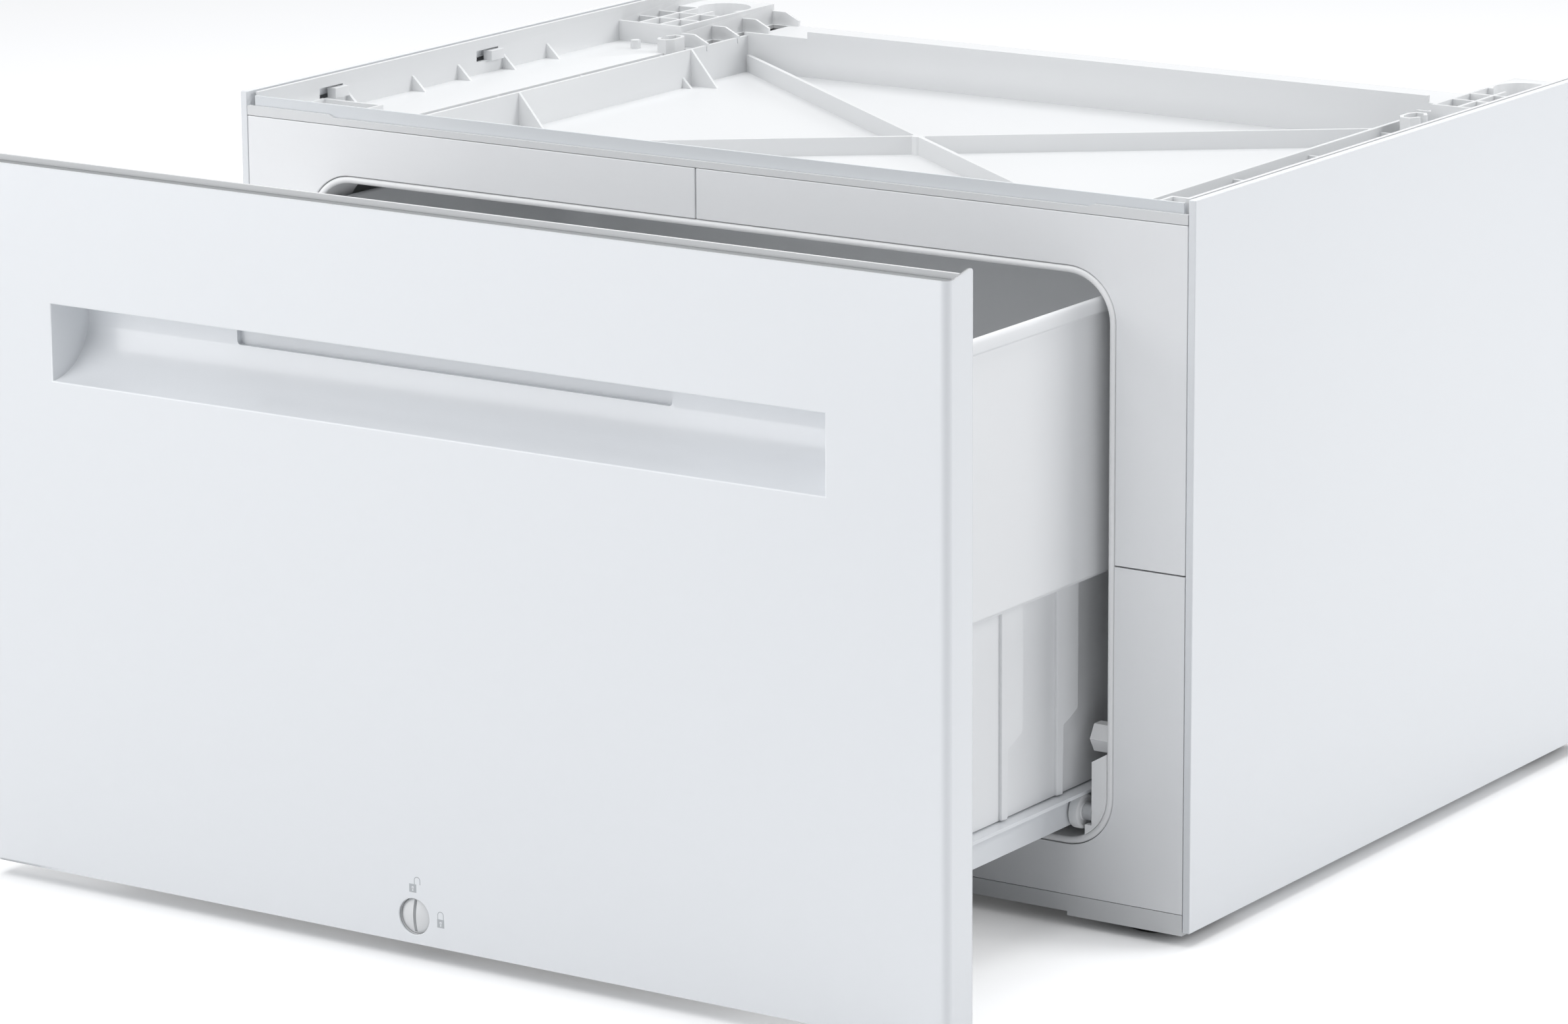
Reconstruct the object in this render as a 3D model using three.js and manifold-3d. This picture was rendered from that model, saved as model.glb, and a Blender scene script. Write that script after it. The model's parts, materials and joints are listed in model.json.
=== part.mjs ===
// A laundry pedestal with a pull-out drawer, in millimetres, +Z up, +X to the right.
// The cabinet is drawn from its front plane (y = 0) and from the lower edge of its side
// panels (z = 0); the drawer from the face of its door. The groups at the end put both in place.
import * as THREE from "three";
import { mergeVertices } from "three/addons/utils/BufferGeometryUtils.js";
import Module from "manifold-3d";

const wasm = await Module();
wasm.setup();

// ---- driving dimensions: cabinet shell ----
const cabinetWidth = 600;
const cabinetDepth = 450;
const panelHeight = 378.6;
const sheet = 1; // painted steel sheet
const foldWidth = 4.2; // hem along the front and top edges of a side panel
const foldReturn = 12;
const rearFlangeWidth = 14;
const rearFlangeInset = 2;
const bottomFlangeWidth = 18;
const bottomFlangeEndGap = 3; // to the corner blocks
const seat = 0.3; // gap between pieces that lie against each other
const sink = 1; // how far a joined shape reaches into its neighbour
const over = 2; // how far a cutting tool passes the face that it opens
const drawerOut = 202; // how far the drawer stands open

// ---- front frame and liner ----
const frameBottom = 9.5;
const frameTopDrop = 13.2; // from the top of a side panel to the top of the frame
const frameThickness = 2.2;
const frameSplitHeight = 186.5;
const frameSeam = 0.7;
const pegRadius = 2.5; // pegs that clip each frame plate to the liner
const pegLength = 2.6;
const pegInset = 25; // from the frame's outer side
const pegFromMiddle = 120;
const pegFromSplit = 45;
const frameStile = 41; // width of a frame plate beside the opening
const frameSill = 26.7; // height of the frame below the opening
const frameHeader = 26.9; // height of the frame above the opening
const openingRadius = 28;
const linerLip = 3.6; // soft white lip that shows inside the opening
const linerWall = 2;
const linerDepth = 29;
const linerFlangeMargin = 3;
const linerLipSetback = 0.6; // from the frame's face to the lip
const linerLipRound = 1;

// ---- top tray ----
const trayWall = 2.3;
const trayFoldGap = 2.5; // from the hem of a side panel to the tray's outer wall
const trayLinerGap = 0.7; // from the liner's flange
const trayTopDrop = 0.6; // the drops in this section are from the top of a side panel
const trayRearGap = 6.5;
const traySkirt = 12; // how far the outer walls reach below the ledge
const ledgeDrop = 20.4;
const ledgeThickness = 2.2;
const lipThickness = 2.1;
const lipDrop = 9.3;
const lipEndDrop = 7.7;
const lipStepSlope = 2;
const lipEndLength = 61; // raised end of the lip, from the cabinet's side
const lipBridge = 1.8; // shelf that carries the lip and the front rail
const frontRailDrop = 2.3;
const frontRailThickness = 1.2;
const frontRailInset = 8; // each end, from the cabinet's side
const frontRailFoot = 14;
const traySideShelf = 50.5; // from the tray's outer side to the trench
const panFront = 43;
const panRearSetback = 62; // from the cabinet's back
const panWallDrop = 18.3;
const panRearWallDrop = 12.6;
const panRearWallStep = 1.7; // the rear wall's low parts, above the side walls
const panFloorDrop = 39.6;
const panFloorThickness = 2.5;
const panRearWallLeftInset = 42; // ends of the raised rear wall, from the pan's sides
const panRearWallRightInset = 7;
const trenchWidth = 11.5;
const trenchFloorDrop = 31.6;
const trenchRibPitch = 80;
const trenchRibStart = 78;
const trenchRibDrop = 1; // below the ledge
const braceHeight = 10; // diagonal ribs across the pan
const braceThickness = 2.6;
const braceBossRadius = 4;
const ribThickness = 1.9;
const wallRibHeight = 8.6;
const wallRibLength = 9;
const wallRibStart = 143.6;
const wallRibPitch = 43;
const wallRibCount = 4;
const clipLength = 21;
const clipHeight = 6.5;
const clipDrop = 13.3;
const clipFront = 58.3;
const clipPitch = 145.5;
const clipHookDepth = 3.4;
const clipHookLength = 11;
const clipHookWall = 1.2;
const clipHookDrop = 1; // below the window's top
const clipRibGap = 4; // from a window to the rib behind it
const socketRadius = 15.8;
const frontBlockDrop = 12.6;
const frontBlockLength = 57;
const frontBlockWidth = 41;
const rearBlockDrop = 8.6;
const rearBlockLength = 98;
const rearBlockInset = 0.5; // inside the tray's rear wall
const rearBlockWidth = 44;
const cellWall = 2;
const cellRows = 3;
const cellColumns = 3;
const socketPadLength = 36; // part of a rear block that carries its socket
const plateReach = 18.5; // gusset plates beside a rear block
const plateDrop = 12.6;
const plateChamfer = 4.5;
const floorSlotWidth = 11;
const trenchEndSetback = 109; // from the cabinet's back
const bossLength = 19; // eight-sided boss shell at the end of the trench
const bossWidth = 12;
const bossSetback = 129; // from the cabinet's back to the shell's front
const bossDrop = 12.6;
const panGussetLength = 18;
const panGussetFront = 160;
const panGussetSetback = 120; // rear gusset, from the cabinet's back
const smallGussetHeight = 6;
const smallGussetGap = 9;
const pinRadius = 3;
const pinHeight = 5;
const pinInset = 33.5;
const pinSetback = 123.4;

// ---- bottom tray and levelling feet ----
const deckTop = 20.5;
const deckThickness = 2.5;
const baseLipBottom = 0.4;
const baseLipTop = 9.2;
const baseWallSetback = 9;
const cornerBlockWidth = 68;
const cornerBlockLength = 55;
const cornerBlockBottom = -1.8;
const footInset = 35;
const footSetback = 30;
const footDrop = 8;
const footRadius = 17;
const footDiscHeight = 4.6;
const footStemRadius = 4;
const footStemTop = 14;
const footStemRoom = 3; // free bore above the stem
const footEdge = 1;
const bossWall = 3.2;
const baseRibCount = 4;
const baseRibDepth = 11;
const baseWallRise = 9;
const secondLipSetback = 14;
const secondLipBottom = -1;

// ---- back panel ----
const backTopDrop = 23.6; // from the top of a side panel
const backBottom = 2;
const backRibDepth = 2.6;
const backRibHeight = 26;
const backRibCount = 3;
const screwHeadRadius = 3.6;
const screwHeadHeight = 1.6;
const screwShankRadius = 1.8;
const screwLength = 9;
const backScrewMargin = 38; // from the lower and upper edges of the back panel
const backScrewCount = 3;

// ---- slides: rollers, axles, brackets, rails, runners ----
const rollerRadius = 9.2;
const rollerEdge = 1.2;
const axleRadius = 3;
const axleShoulderRadius = 4.6;
const axleEndGap = 0.2;
const axleSocketDepth = 3.5;
const axleCollarWidth = 1.3;
const shoulderGap = 0.15;
const boreGap = 0.3;
const frontRollerY = 3;
const frontRollerZ = 54.6;
const frontRollerGap = 0.8; // beside the runner
const frontRollerWidth = 5.5;
const bracketReach = 8.5; // how far the bracket, its foot and its nose stand into the opening
const bracketFront = -1; // stands a little before the frame's face
const bracketLength = 25;
const bracketTopInner = 82.3;
const bracketTopOuter = 87.2;
const bracketFootReach = 12.4;
const bracketFootTop = 48.7;
const bracketLift = 1; // above the liner's floor
const noseFront = 5;
const noseReach = 13.3;
const noseBottom = 85.3;
const noseTop = 99.7;
const noseLength = 15;
const noseChamfer = 4.2;
const railThickness = 1.5;
const railInset = 49; // inner face of the web, from the cabinet's side
const railReach = 11; // width of the two tracks inside the web
const railFront = 34;
const railSetback = 10; // from the cabinet's back
const railTrackTop = 45;
const railTrackUnderside = 64.6;
const railLegLength = 30;
const railLegFoot = 22;
const railLegCount = 3;
const rearRollerGap = 3; // beside the web
const rearRollerWidth = 8;
const rearRollerZ = 54.3;
const rearRollerFromBinRear = 22.8;
const runnerThickness = 1.7;
const runnerFlangeThickness = 2;
const runnerFlangeTop = 66;
const runnerFlange = 7.4; // how far the flange stands out
const runnerBottom = 47.5;
const runnerFrontGap = 0.5; // to the inner panel
const runnerRearInset = 1;

// ---- door ----
const doorSideInset = 2; // from the cabinet's side
const doorBottom = 0.94;
const doorTopDrop = 1.65; // from the top of a side panel
const doorDepth = 22.2;
const doorGap = 2; // between the closed door and the frame
const doorSkin = 1.5;
const doorEdgeRadius = 4.5;
const doorTipRise = 3; // the side returns rise to a rounded tip at the back
const doorTipFrom = 8;
const doorTipLength = 6;
const doorTipRound = 1.5;
const coreTopInset = 1.3;
const coreDepth = 12.3;
const innerPanelRise = 1.65; // above the door's front edge
const innerPanelThickness = 1.5;
const platformInset = 10; // raised middle of the inner panel
const platformBottom = 72;
const bulgeDepth = 33.7; // how deep the inner panel stands into the opening
const bulgeGap = 1.5; // to the liner on each side
const bulgeBottom = 180;
const bulgeTopGap = 16.5; // below the top of the opening
const bulgeRadius = 20;
const stemInset = 23.4; // narrower than the bulge on each side
const stemBottom = 52;

// ---- handle recess ----
const recessLeftInset = 51; // from the door's left side
const recessRightInset = 69; // from the door's right side
const recessDrop = 70.95; // from the door's top edge
const recessHeight = 40.3;
const recessDepth = 27;
const recessBellyDepth = 20; // control point of the curved floor
const recessBellyRise = 2.3;
const recessEndDraft = 2.8;
const recessCorner = 2;
const scoopWall = 1.8;
const scoopFlange = 6;
const slotLeftInset = 100.4; // from the ends of the recess
const slotRightInset = 106.4;
const slotHeight = 13;
const slotRise = 12; // finger pocket above the recess
const slotDepth = 29.5;
const slotFront = 16;

// ---- lock ----
const lockX = -20.9;
const lockZ = 15.1;
const knobRadius = 9.25;
const knobGap = 0.3;
const knobInset = 0.4;
const knobThickness = 6;
const coinSlotWidth = 2;
const coinSlotDepth = 1.6;
const coinSlotEdge = 0.9; // from its ends to the knob's rim
const lockStemRadius = 3.8;
const housingWall = 2.2;
const housingRear = 22;
const camThickness = 1.5;
const camReach = 14.2;
const camHalfWidth = 4.5;
const camRound = 4.4;
const camClearance = 0.9; // behind the frame plate when the drawer is shut
const strikeGap = 1.1;

// ---- bin ----
const binBackGap = 5.3; // to the ribs of the back panel when the drawer is shut
const binTopGap = 15; // below the top of the opening
const binSideGap = 5.9; // to the liner on each side
const binRimHeight = 8.5;
const binRimProud = 2;
const binRimRound = 2.4;
const binBandBottom = 179.5;
const binWaist = 12.5; // the lower wall is narrower than the band on each side
const binUndercut = 4;
const binFootRound = 6;
const binStepRise = 0.6; // slope of the step above the runner
const binWall = 2.2;
const binRimWall = 4;
const binFloor = 2.5;
const binCornerRadius = 20;
const binDraft = 6; // the rear wall leans in towards the floor
const binScrewInset = 65; // from the bin's rim
const binScrewUpper = 215;
const binScrewLower = 90;
const padProud = 3.6;
const padLength = 17;
const padBottom = 110;
const padSlant = 7;
const padFrontMargin = 31.3; // from the bin's front to the first pad's rear edge
const padRearMargin = 23.6;
const padCount = 8;
const padRibLength = 4.5;
const padFootGap = 0.8; // above the step

// ---- worked-out sizes ----
const half = cabinetWidth / 2;
const panelInside = half - foldWidth - seat;
const frameHalf = panelInside;
const frameTop = panelHeight - frameTopDrop;
const openingHalf = frameHalf - frameStile;
const openingBottom = frameBottom + frameSill;
const openingTop = frameTop - frameHeader;
const linerHalf = openingHalf - linerLip;
const linerBottom = openingBottom + linerLip;
const linerTop = openingTop - linerLip;
const linerRadius = openingRadius - linerLip;
const linerFlangeFront = frameThickness + seat;

const trayHalf = half - foldWidth - trayFoldGap;
const trayInside = trayHalf - trayWall;
const trayTop = panelHeight - trayTopDrop;
const trayRear = cabinetDepth - trayRearGap;
const trayFront = linerFlangeFront + linerWall + trayLinerGap;
const ledgeHeight = panelHeight - ledgeDrop;
const ledgeBottom = ledgeHeight - ledgeThickness;
const ledgeInner = trayHalf - traySideShelf;
const trayLow = ledgeBottom - traySkirt;
const lipTop = panelHeight - lipDrop;
const lipEndTop = panelHeight - lipEndDrop;
const lipBottom = frameTop + seat;
const lipStepAt = half - lipEndLength;
const frontRailTop = panelHeight - frontRailDrop;
const panOuter = ledgeInner - trenchWidth;
const panHalf = panOuter - trayWall;
const panRear = cabinetDepth - panRearSetback;
const panWallTop = panelHeight - panWallDrop;
const panRearWallTop = panelHeight - panRearWallDrop;
const panRearWallLeft = panRearWallLeftInset - panHalf;
const panRearWallRight = panHalf - panRearWallRightInset;
const panFloor = panelHeight - panFloorDrop;
const panBottom = panFloor - panFloorThickness;
const trenchFloor = panelHeight - trenchFloorDrop;
const trenchEnd = cabinetDepth - trenchEndSetback;
const clipBase = panelHeight - clipDrop;
const frontBlockTop = panelHeight - frontBlockDrop;
const rearBlockTop = panelHeight - rearBlockDrop;
const plateTop = panelHeight - plateDrop;
const blockRear = trayRear - rearBlockInset;
const bossFront = cabinetDepth - bossSetback;
const bossTop = panelHeight - bossDrop;
const panGussetRear = cabinetDepth - panGussetSetback;
const pinX = half - pinInset;
const pinY = cabinetDepth - pinSetback;
const footX = half - footInset;
const rearFootY = cabinetDepth - footSetback + (trayRear - cabinetDepth) / 2;

const rearFlangeFront = cabinetDepth - rearFlangeInset - sheet;
const backRear = rearFlangeFront - seat;
const backTop = panelHeight - backTopDrop;
const backScrewLowest = backBottom + backScrewMargin;
const backScrewPitch = (backTop - backBottom - 2 * backScrewMargin) / (backScrewCount - 1);

const doorHalf = half - doorSideInset;
const doorTop = panelHeight - doorTopDrop;
const closedDoor = -(doorDepth + doorGap);
const coreFront = doorSkin + seat;
const innerPanelFront = coreDepth + seat;
const innerPanelRear = innerPanelFront + innerPanelThickness;
const skinInside = doorHalf - doorSkin;
const coreHalf = skinInside - seat;
const housingRadius = knobRadius + knobGap + housingWall;
const innerPanelTop = doorTop + innerPanelRise;
const bulgeHalf = linerHalf - bulgeGap;
const bulgeTop = openingTop - bulgeTopGap;
const stemHalf = bulgeHalf - stemInset;
const recessLeft = recessLeftInset - doorHalf;
const recessRight = doorHalf - recessRightInset;
const recessTop = doorTop - recessDrop;
const recessBottom = recessTop - recessHeight;
const slotLeft = recessLeft + slotLeftInset;
const slotRight = recessRight - slotRightInset;
const slotBottom = recessTop - slotHeight;
const camFront = doorDepth + doorGap + frameThickness + camClearance;

const rimHalf = linerHalf - binSideGap;
const bandHalf = rimHalf - binRimProud;
const lowerHalf = bandHalf - binWaist;
const binTop = openingTop - binTopGap;
const binFront = bulgeDepth + seat;
const binRear = backRear - sheet - backRibDepth - binBackGap - closedDoor;
const padFace = lowerHalf + padProud;
const padFirstRear = binFront + padFrontMargin;
const padPitch = (binRear - padRearMargin - padFirstRear) / (padCount - 1);
const binScrewX = rimHalf - binScrewInset;

const runnerOuter = lowerHalf;
const runnerInner = runnerOuter - runnerThickness;
const runnerFlangeReach = runnerOuter + runnerFlange;
const railWeb = half - railInset;
const railRear = cabinetDepth - railSetback;
const frontRollerInner = runnerOuter + frontRollerGap;
const rearRollerInner = railWeb - rearRollerGap - rearRollerWidth;
const rearRollerY = binRear - rearRollerFromBinRear;
const bracketFace = linerHalf - bracketReach;
const bracketFootFace = linerHalf - bracketFootReach;
const noseFace = linerHalf - noseReach;

// ---- shape helpers ----
function solidFrom(geometry) {
  const bare = geometry.clone();
  bare.deleteAttribute("normal");
  bare.deleteAttribute("uv");
  const merged = mergeVertices(bare, 1e-4);
  const mesh = new wasm.Mesh({
    numProp: 3,
    vertProperties: new Float32Array(merged.attributes.position.array),
    triVerts: new Uint32Array(merged.index.array),
  });
  return new wasm.Manifold(mesh);
}

function join(...solids) {
  return solids.flat().reduce((all, one) => all.add(one));
}

function cut(solid, ...tools) {
  return tools.flat().reduce((rest, tool) => rest.subtract(tool), solid);
}

// Moves every vertex to the place that `place` gives for its [x, y, z].
function placeVertices(geometry, place) {
  const at = geometry.attributes.position;
  for (let i = 0; i < at.count; i++) {
    at.setXYZ(i, ...place(at.getX(i), at.getY(i), at.getZ(i)));
  }
  return geometry;
}

function block([x0, x1], [y0, y1], [z0, z1]) {
  const box = placeVertices(new THREE.BoxGeometry(1, 1, 1), (x, y, z) =>
    [x > 0 ? x1 : x0, y > 0 ? y1 : y0, z > 0 ? z1 : z0]);
  return solidFrom(box);
}

// Extrudes an outline: along x it lies in (y, z), along y in (x, z), along z in (x, y).
function prism(shape, along, from, to, curveSegments = 6) {
  const body = new THREE.ExtrudeGeometry(shape, { depth: 1, bevelEnabled: false, curveSegments });
  const places = {
    x: (u, v, w) => [w > 0.5 ? to : from, u, v],
    y: (u, v, w) => [u, w > 0.5 ? from : to, v],
    z: (u, v, w) => [u, v, w > 0.5 ? to : from],
  };
  return solidFrom(placeVertices(body, places[along]));
}

function outline(...points) {
  return new THREE.Shape(points.map(([u, v]) => new THREE.Vector2(u, v)));
}

function roundedRectangle([u0, u1], [v0, v1], radius) {
  const shape = new THREE.Shape();
  shape.absarc(u1 - radius, v1 - radius, radius, 0, Math.PI / 2);
  shape.absarc(u0 + radius, v1 - radius, radius, Math.PI / 2, Math.PI);
  shape.absarc(u0 + radius, v0 + radius, radius, Math.PI, (3 * Math.PI) / 2);
  shape.absarc(u1 - radius, v0 + radius, radius, (3 * Math.PI) / 2, 2 * Math.PI);
  return shape;
}

function disc(u, v, radius, sides) {
  const points = [];
  for (let i = 0; i < sides; i++) {
    const angle = (2 * Math.PI * (i + 0.5)) / sides;
    points.push([u + radius * Math.cos(angle), v + radius * Math.sin(angle)]);
  }
  return outline(...points);
}

// A profile of [radius, height] points turned about a line through the point along z, x or y.
function turned(profile, [x, y, z], along = "z", sides = 16) {
  const points = profile.map(([radius, height]) => new THREE.Vector2(radius, height));
  const body = new THREE.LatheGeometry(points, sides);
  if (along === "z") {
    body.rotateX(Math.PI / 2);
  }
  if (along === "x") {
    body.rotateZ(-Math.PI / 2);
  }
  body.translate(x, y, z);
  return solidFrom(body);
}

function rod(along, [u, v], radius, from, to, sides = 16) {
  return prism(disc(u, v, radius, sides), along, from, to);
}

// A stack of rounded rectangles, each [height, half width, front, rear, corner radius].
function lofted(levels, cornerSteps = 5) {
  const positions = [];
  const index = [];
  const ringLength = 4 * (cornerSteps + 1);
  for (const [z, halfWidth, front, rear, radius] of levels) {
    const centres = [
      [halfWidth - radius, rear - radius],
      [radius - halfWidth, rear - radius],
      [radius - halfWidth, front + radius],
      [halfWidth - radius, front + radius],
    ];
    centres.forEach(([x, y], corner) => {
      for (let i = 0; i <= cornerSteps; i++) {
        const angle = (Math.PI / 2) * (corner + i / cornerSteps);
        positions.push(x + radius * Math.cos(angle), y + radius * Math.sin(angle), z);
      }
    });
  }
  for (let level = 1; level < levels.length; level++) {
    for (let i = 0; i < ringLength; i++) {
      const next = (i + 1) % ringLength;
      const low = (level - 1) * ringLength;
      const high = level * ringLength;
      index.push(low + i, low + next, high + next, low + i, high + next, high + i);
    }
  }
  const last = (levels.length - 1) * ringLength;
  for (let i = 1; i < ringLength - 1; i++) {
    index.push(0, i + 1, i, last, last + i, last + i + 1);
  }
  const body = new THREE.BufferGeometry();
  body.setAttribute("position", new THREE.Float32BufferAttribute(positions, 3));
  body.setIndex(index);
  return solidFrom(body);
}

function mirrored(solid) {
  const { vertProperties, triVerts } = solid.getMesh();
  const flipped = Float32Array.from(vertProperties, (value, i) => (i % 3 === 0 ? -value : value));
  const turnedRound = Uint32Array.from(triVerts);
  for (let i = 0; i < turnedRound.length; i += 3) {
    turnedRound[i + 1] = triVerts[i + 2];
    turnedRound[i + 2] = triVerts[i + 1];
  }
  const mesh = new wasm.Mesh({ numProp: 3, vertProperties: flipped, triVerts: turnedRound });
  return new wasm.Manifold(mesh);
}

function bothSides(solid) {
  return [solid, mirrored(solid)];
}

function geometryOf(solid) {
  const { vertProperties, triVerts } = solid.getMesh();
  const geometry = new THREE.BufferGeometry();
  geometry.setAttribute("position", new THREE.BufferAttribute(vertProperties, 3));
  geometry.setIndex(new THREE.BufferAttribute(triVerts, 1));
  return geometry;
}

const finishes = {
  paintedWhite: { color: 0xf1f3f5, roughness: 0.28, metalness: 0 },
  mouldedWhite: { color: 0xf3f4f4, roughness: 0.5, metalness: 0 },
  binPlastic: { color: 0xe4e6e7, roughness: 0.45, metalness: 0 },
  greyCore: { color: 0xa5aaac, roughness: 0.6, metalness: 0 },
  greySteel: { color: 0xb9bfc4, roughness: 0.4, metalness: 0.6 },
  zincSteel: { color: 0xc9ccce, roughness: 0.35, metalness: 0.9 },
  rollerPlastic: { color: 0xeceeee, roughness: 0.4, metalness: 0 },
  darkRubber: { color: 0x2b2c2e, roughness: 0.8, metalness: 0 },
};

function piece(name, solid, finish) {
  const look = new THREE.MeshStandardMaterial({ ...finishes[finish], flatShading: true });
  const mesh = new THREE.Mesh(geometryOf(solid), look);
  mesh.name = name;
  return mesh;
}

// ---- cabinet: side panels ----
// One folded sheet: hems along the front and top edges, a flange for the back panel
// and a flange under the bottom tray, cut back at both corner blocks.
function sidePanel() {
  const inner = half - sheet;
  const hemFace = half - foldWidth;
  const flangeEnds = [cornerBlockLength + bottomFlangeEndGap,
    trayRear - cornerBlockLength - bottomFlangeEndGap];
  return join(
    block([inner, half], [0, cabinetDepth], [0, panelHeight]),
    block([hemFace, half], [0, sheet], [0, panelHeight]),
    block([hemFace, hemFace + sheet], [0, foldReturn], [0, panelHeight]),
    block([hemFace, half], [0, cabinetDepth], [panelHeight - sheet, panelHeight]),
    block([hemFace, hemFace + sheet], [0, cabinetDepth], [panelHeight - foldReturn, panelHeight]),
    block([half - rearFlangeWidth, half], [rearFlangeFront, rearFlangeFront + sheet], [0, backTop]),
    block([half - bottomFlangeWidth, half], flangeEnds, [0, sheet]),
  );
}

// ---- cabinet: front frame ----
const frameMiddleTop = (openingTop + frameTop) / 2;
const frameMiddleBottom = (openingBottom + frameBottom) / 2;
const pegX = frameHalf - pegInset + seat;

// Pegs of a right-hand quarter, as [x, z].
function pegPlaces(upper) {
  const z = upper ? frameMiddleTop : frameMiddleBottom;
  const sideZ = frameSplitHeight + (upper ? pegFromSplit : -pegFromSplit);
  return [[pegFromMiddle, z], [pegX, z], [pegX, sideZ]];
}

// An L-shaped plate whose inner corner follows the round corner of the opening.
function frameQuarter(upper) {
  const middle = frameSeam / 2;
  const shape = new THREE.Shape();
  const r = openingRadius;
  if (upper) {
    shape.moveTo(middle, frameTop);
    shape.lineTo(middle, openingTop);
    shape.absarc(openingHalf - r, openingTop - r, r, Math.PI / 2, 0, true);
    shape.lineTo(openingHalf, frameSplitHeight + middle);
    shape.lineTo(frameHalf, frameSplitHeight + middle);
    shape.lineTo(frameHalf, frameTop);
  } else {
    shape.moveTo(middle, frameBottom);
    shape.lineTo(frameHalf, frameBottom);
    shape.lineTo(frameHalf, frameSplitHeight - middle);
    shape.lineTo(openingHalf, frameSplitHeight - middle);
    shape.absarc(openingHalf - r, openingBottom + r, r, 0, -Math.PI / 2, true);
    shape.lineTo(middle, openingBottom);
  }
  const plate = prism(shape, "y", 0, frameThickness, 8);
  const pegs = pegPlaces(upper).map((place) =>
    rod("y", place, pegRadius, frameThickness - sink, frameThickness + pegLength, 8),
  );
  return join(plate, pegs);
}

// The lock's cam passes the frame through a notch that is open below.
function strikeNotch() {
  const side = camHalfWidth + strikeGap;
  return block(
    [lockX - side, lockX + side],
    [-over, frameThickness + over],
    [frameBottom - over, lockZ + camReach + strikeGap],
  );
}

// The liner's inner edge, grown outwards: its span in x, its span in z and its corner radius.
function linerEdge(grown) {
  return [[-linerHalf - grown, linerHalf + grown], [linerBottom - grown, linerTop + grown],
    linerRadius + grown];
}

// The liner: a flange behind the frame plates, a rounded lip and a short tunnel.
function openingLiner() {
  const flangeRear = linerFlangeFront + linerWall;
  const outerEdge = frameHalf - linerFlangeMargin;
  const flange = block([-outerEdge, outerEdge], [linerFlangeFront, flangeRear],
    [frameBottom + linerFlangeMargin, frameTop - linerFlangeMargin]);
  const tunnel = prism(roundedRectangle(...linerEdge(linerWall)), "y", linerFlangeFront, linerDepth);
  const lipOuter = linerLip - seat;
  const roundEnd = linerLipSetback + linerLipRound;
  const lip = prism(roundedRectangle(...linerEdge(lipOuter)), "y", roundEnd, linerFlangeFront + sink);
  const nose = prism(roundedRectangle(...linerEdge(lipOuter - linerLipRound)), "y", linerLipSetback,
    linerFlangeFront + sink);
  const clear = prism(roundedRectangle(...linerEdge(0)), "y", -over, linerDepth + over);
  const mouth = prism(roundedRectangle(...linerEdge(linerLipRound)), "y", -over, roundEnd);
  const pegHoles = [true, false].flatMap(pegPlaces).flatMap((place) =>
    bothSides(rod("y", place, pegRadius + seat, 0, flangeRear + over, 8)),
  );
  const side = camReach + strikeGap;
  const camWindow = block([lockX - side, lockX + side], [0, flangeRear + over],
    [frameBottom, lockZ + camReach + strikeGap]);
  return cut(join(flange, tunnel, lip, nose), clear, mouth, pegHoles, camWindow);
}

// ---- cabinet: top tray ----
// A wedge that stands on a floor against a wall at x = wallX, reaching inwards by length.
function wedge(wallX, length, [low, high], y) {
  const shape = outline([wallX + sink, low - sink], [wallX + sink, high],
    [wallX, high], [wallX - length, low], [wallX - length, low - sink]);
  return prism(shape, "y", y - ribThickness / 2, y + ribThickness / 2);
}

// The pan in the middle with its four walls; the rear wall stands higher over most of its length.
function panTub() {
  const walls = block([-panOuter, panOuter], [panFront - trayWall, panRear + trayWall],
    [panBottom, panWallTop]);
  const rear = [panRear, panRear + trayWall];
  const rearWall = block([-panOuter, panOuter], rear, [panBottom, panWallTop + panRearWallStep]);
  const highWall = block([panRearWallLeft, panRearWallRight], rear, [panBottom, panRearWallTop]);
  const inside = block([-panHalf, panHalf], [panFront, panRear], [panFloor, panRearWallTop + over]);
  return cut(join(walls, rearWall, highWall), inside);
}

// Two ribs cross the pan from corner to corner, with a boss where they meet.
function panBraces() {
  const middleY = (panFront + panRear) / 2;
  const length = Math.hypot(2 * panHalf, panRear - panFront);
  const turn = Math.atan2(panRear - panFront, 2 * panHalf);
  const room = block([-panHalf - sink, panHalf + sink], [panFront - sink, panRear + sink],
    [panFloor - sink, panFloor + braceHeight]);
  const braces = [turn, -turn].map((angle) => {
    const bar = new THREE.BoxGeometry(length, braceThickness, braceHeight + sink);
    bar.rotateZ(angle);
    bar.translate(0, middleY, panFloor + (braceHeight - sink) / 2);
    return solidFrom(bar);
  });
  const boss = rod("z", [0, middleY], braceBossRadius, panFloor - sink, panFloor + braceHeight, 12);
  return join(...braces, boss).intersect(room);
}

// Everything on the right-hand side of the tray: trench, ribs, clip windows, foot blocks.
function trenchTub() {
  const low = trenchFloor - trayWall;
  return block([panOuter - sink, ledgeInner + trayWall], [panFront - trayWall, trenchEnd],
    [low, ledgeHeight]);
}

function trenchRoom() {
  return block([panOuter, ledgeInner], [panFront, trenchEnd - trayWall],
    [trenchFloor, ledgeHeight + over]);
}

function trenchRibs() {
  const ribs = [];
  for (let y = trenchRibStart; y < trenchEnd - trayWall; y += trenchRibPitch) {
    ribs.push(block([panOuter - sink, ledgeInner + sink], [y - ribThickness / 2, y + ribThickness / 2],
      [trenchFloor - sink, ledgeHeight - trenchRibDrop]));
  }
  return ribs;
}

function clipPlaces() {
  return [clipFront, clipFront + clipPitch];
}

function clipWindow(y) {
  return block([trayInside - over, trayHalf + over], [y, y + clipLength],
    [clipBase, clipBase + clipHeight]);
}

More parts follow.
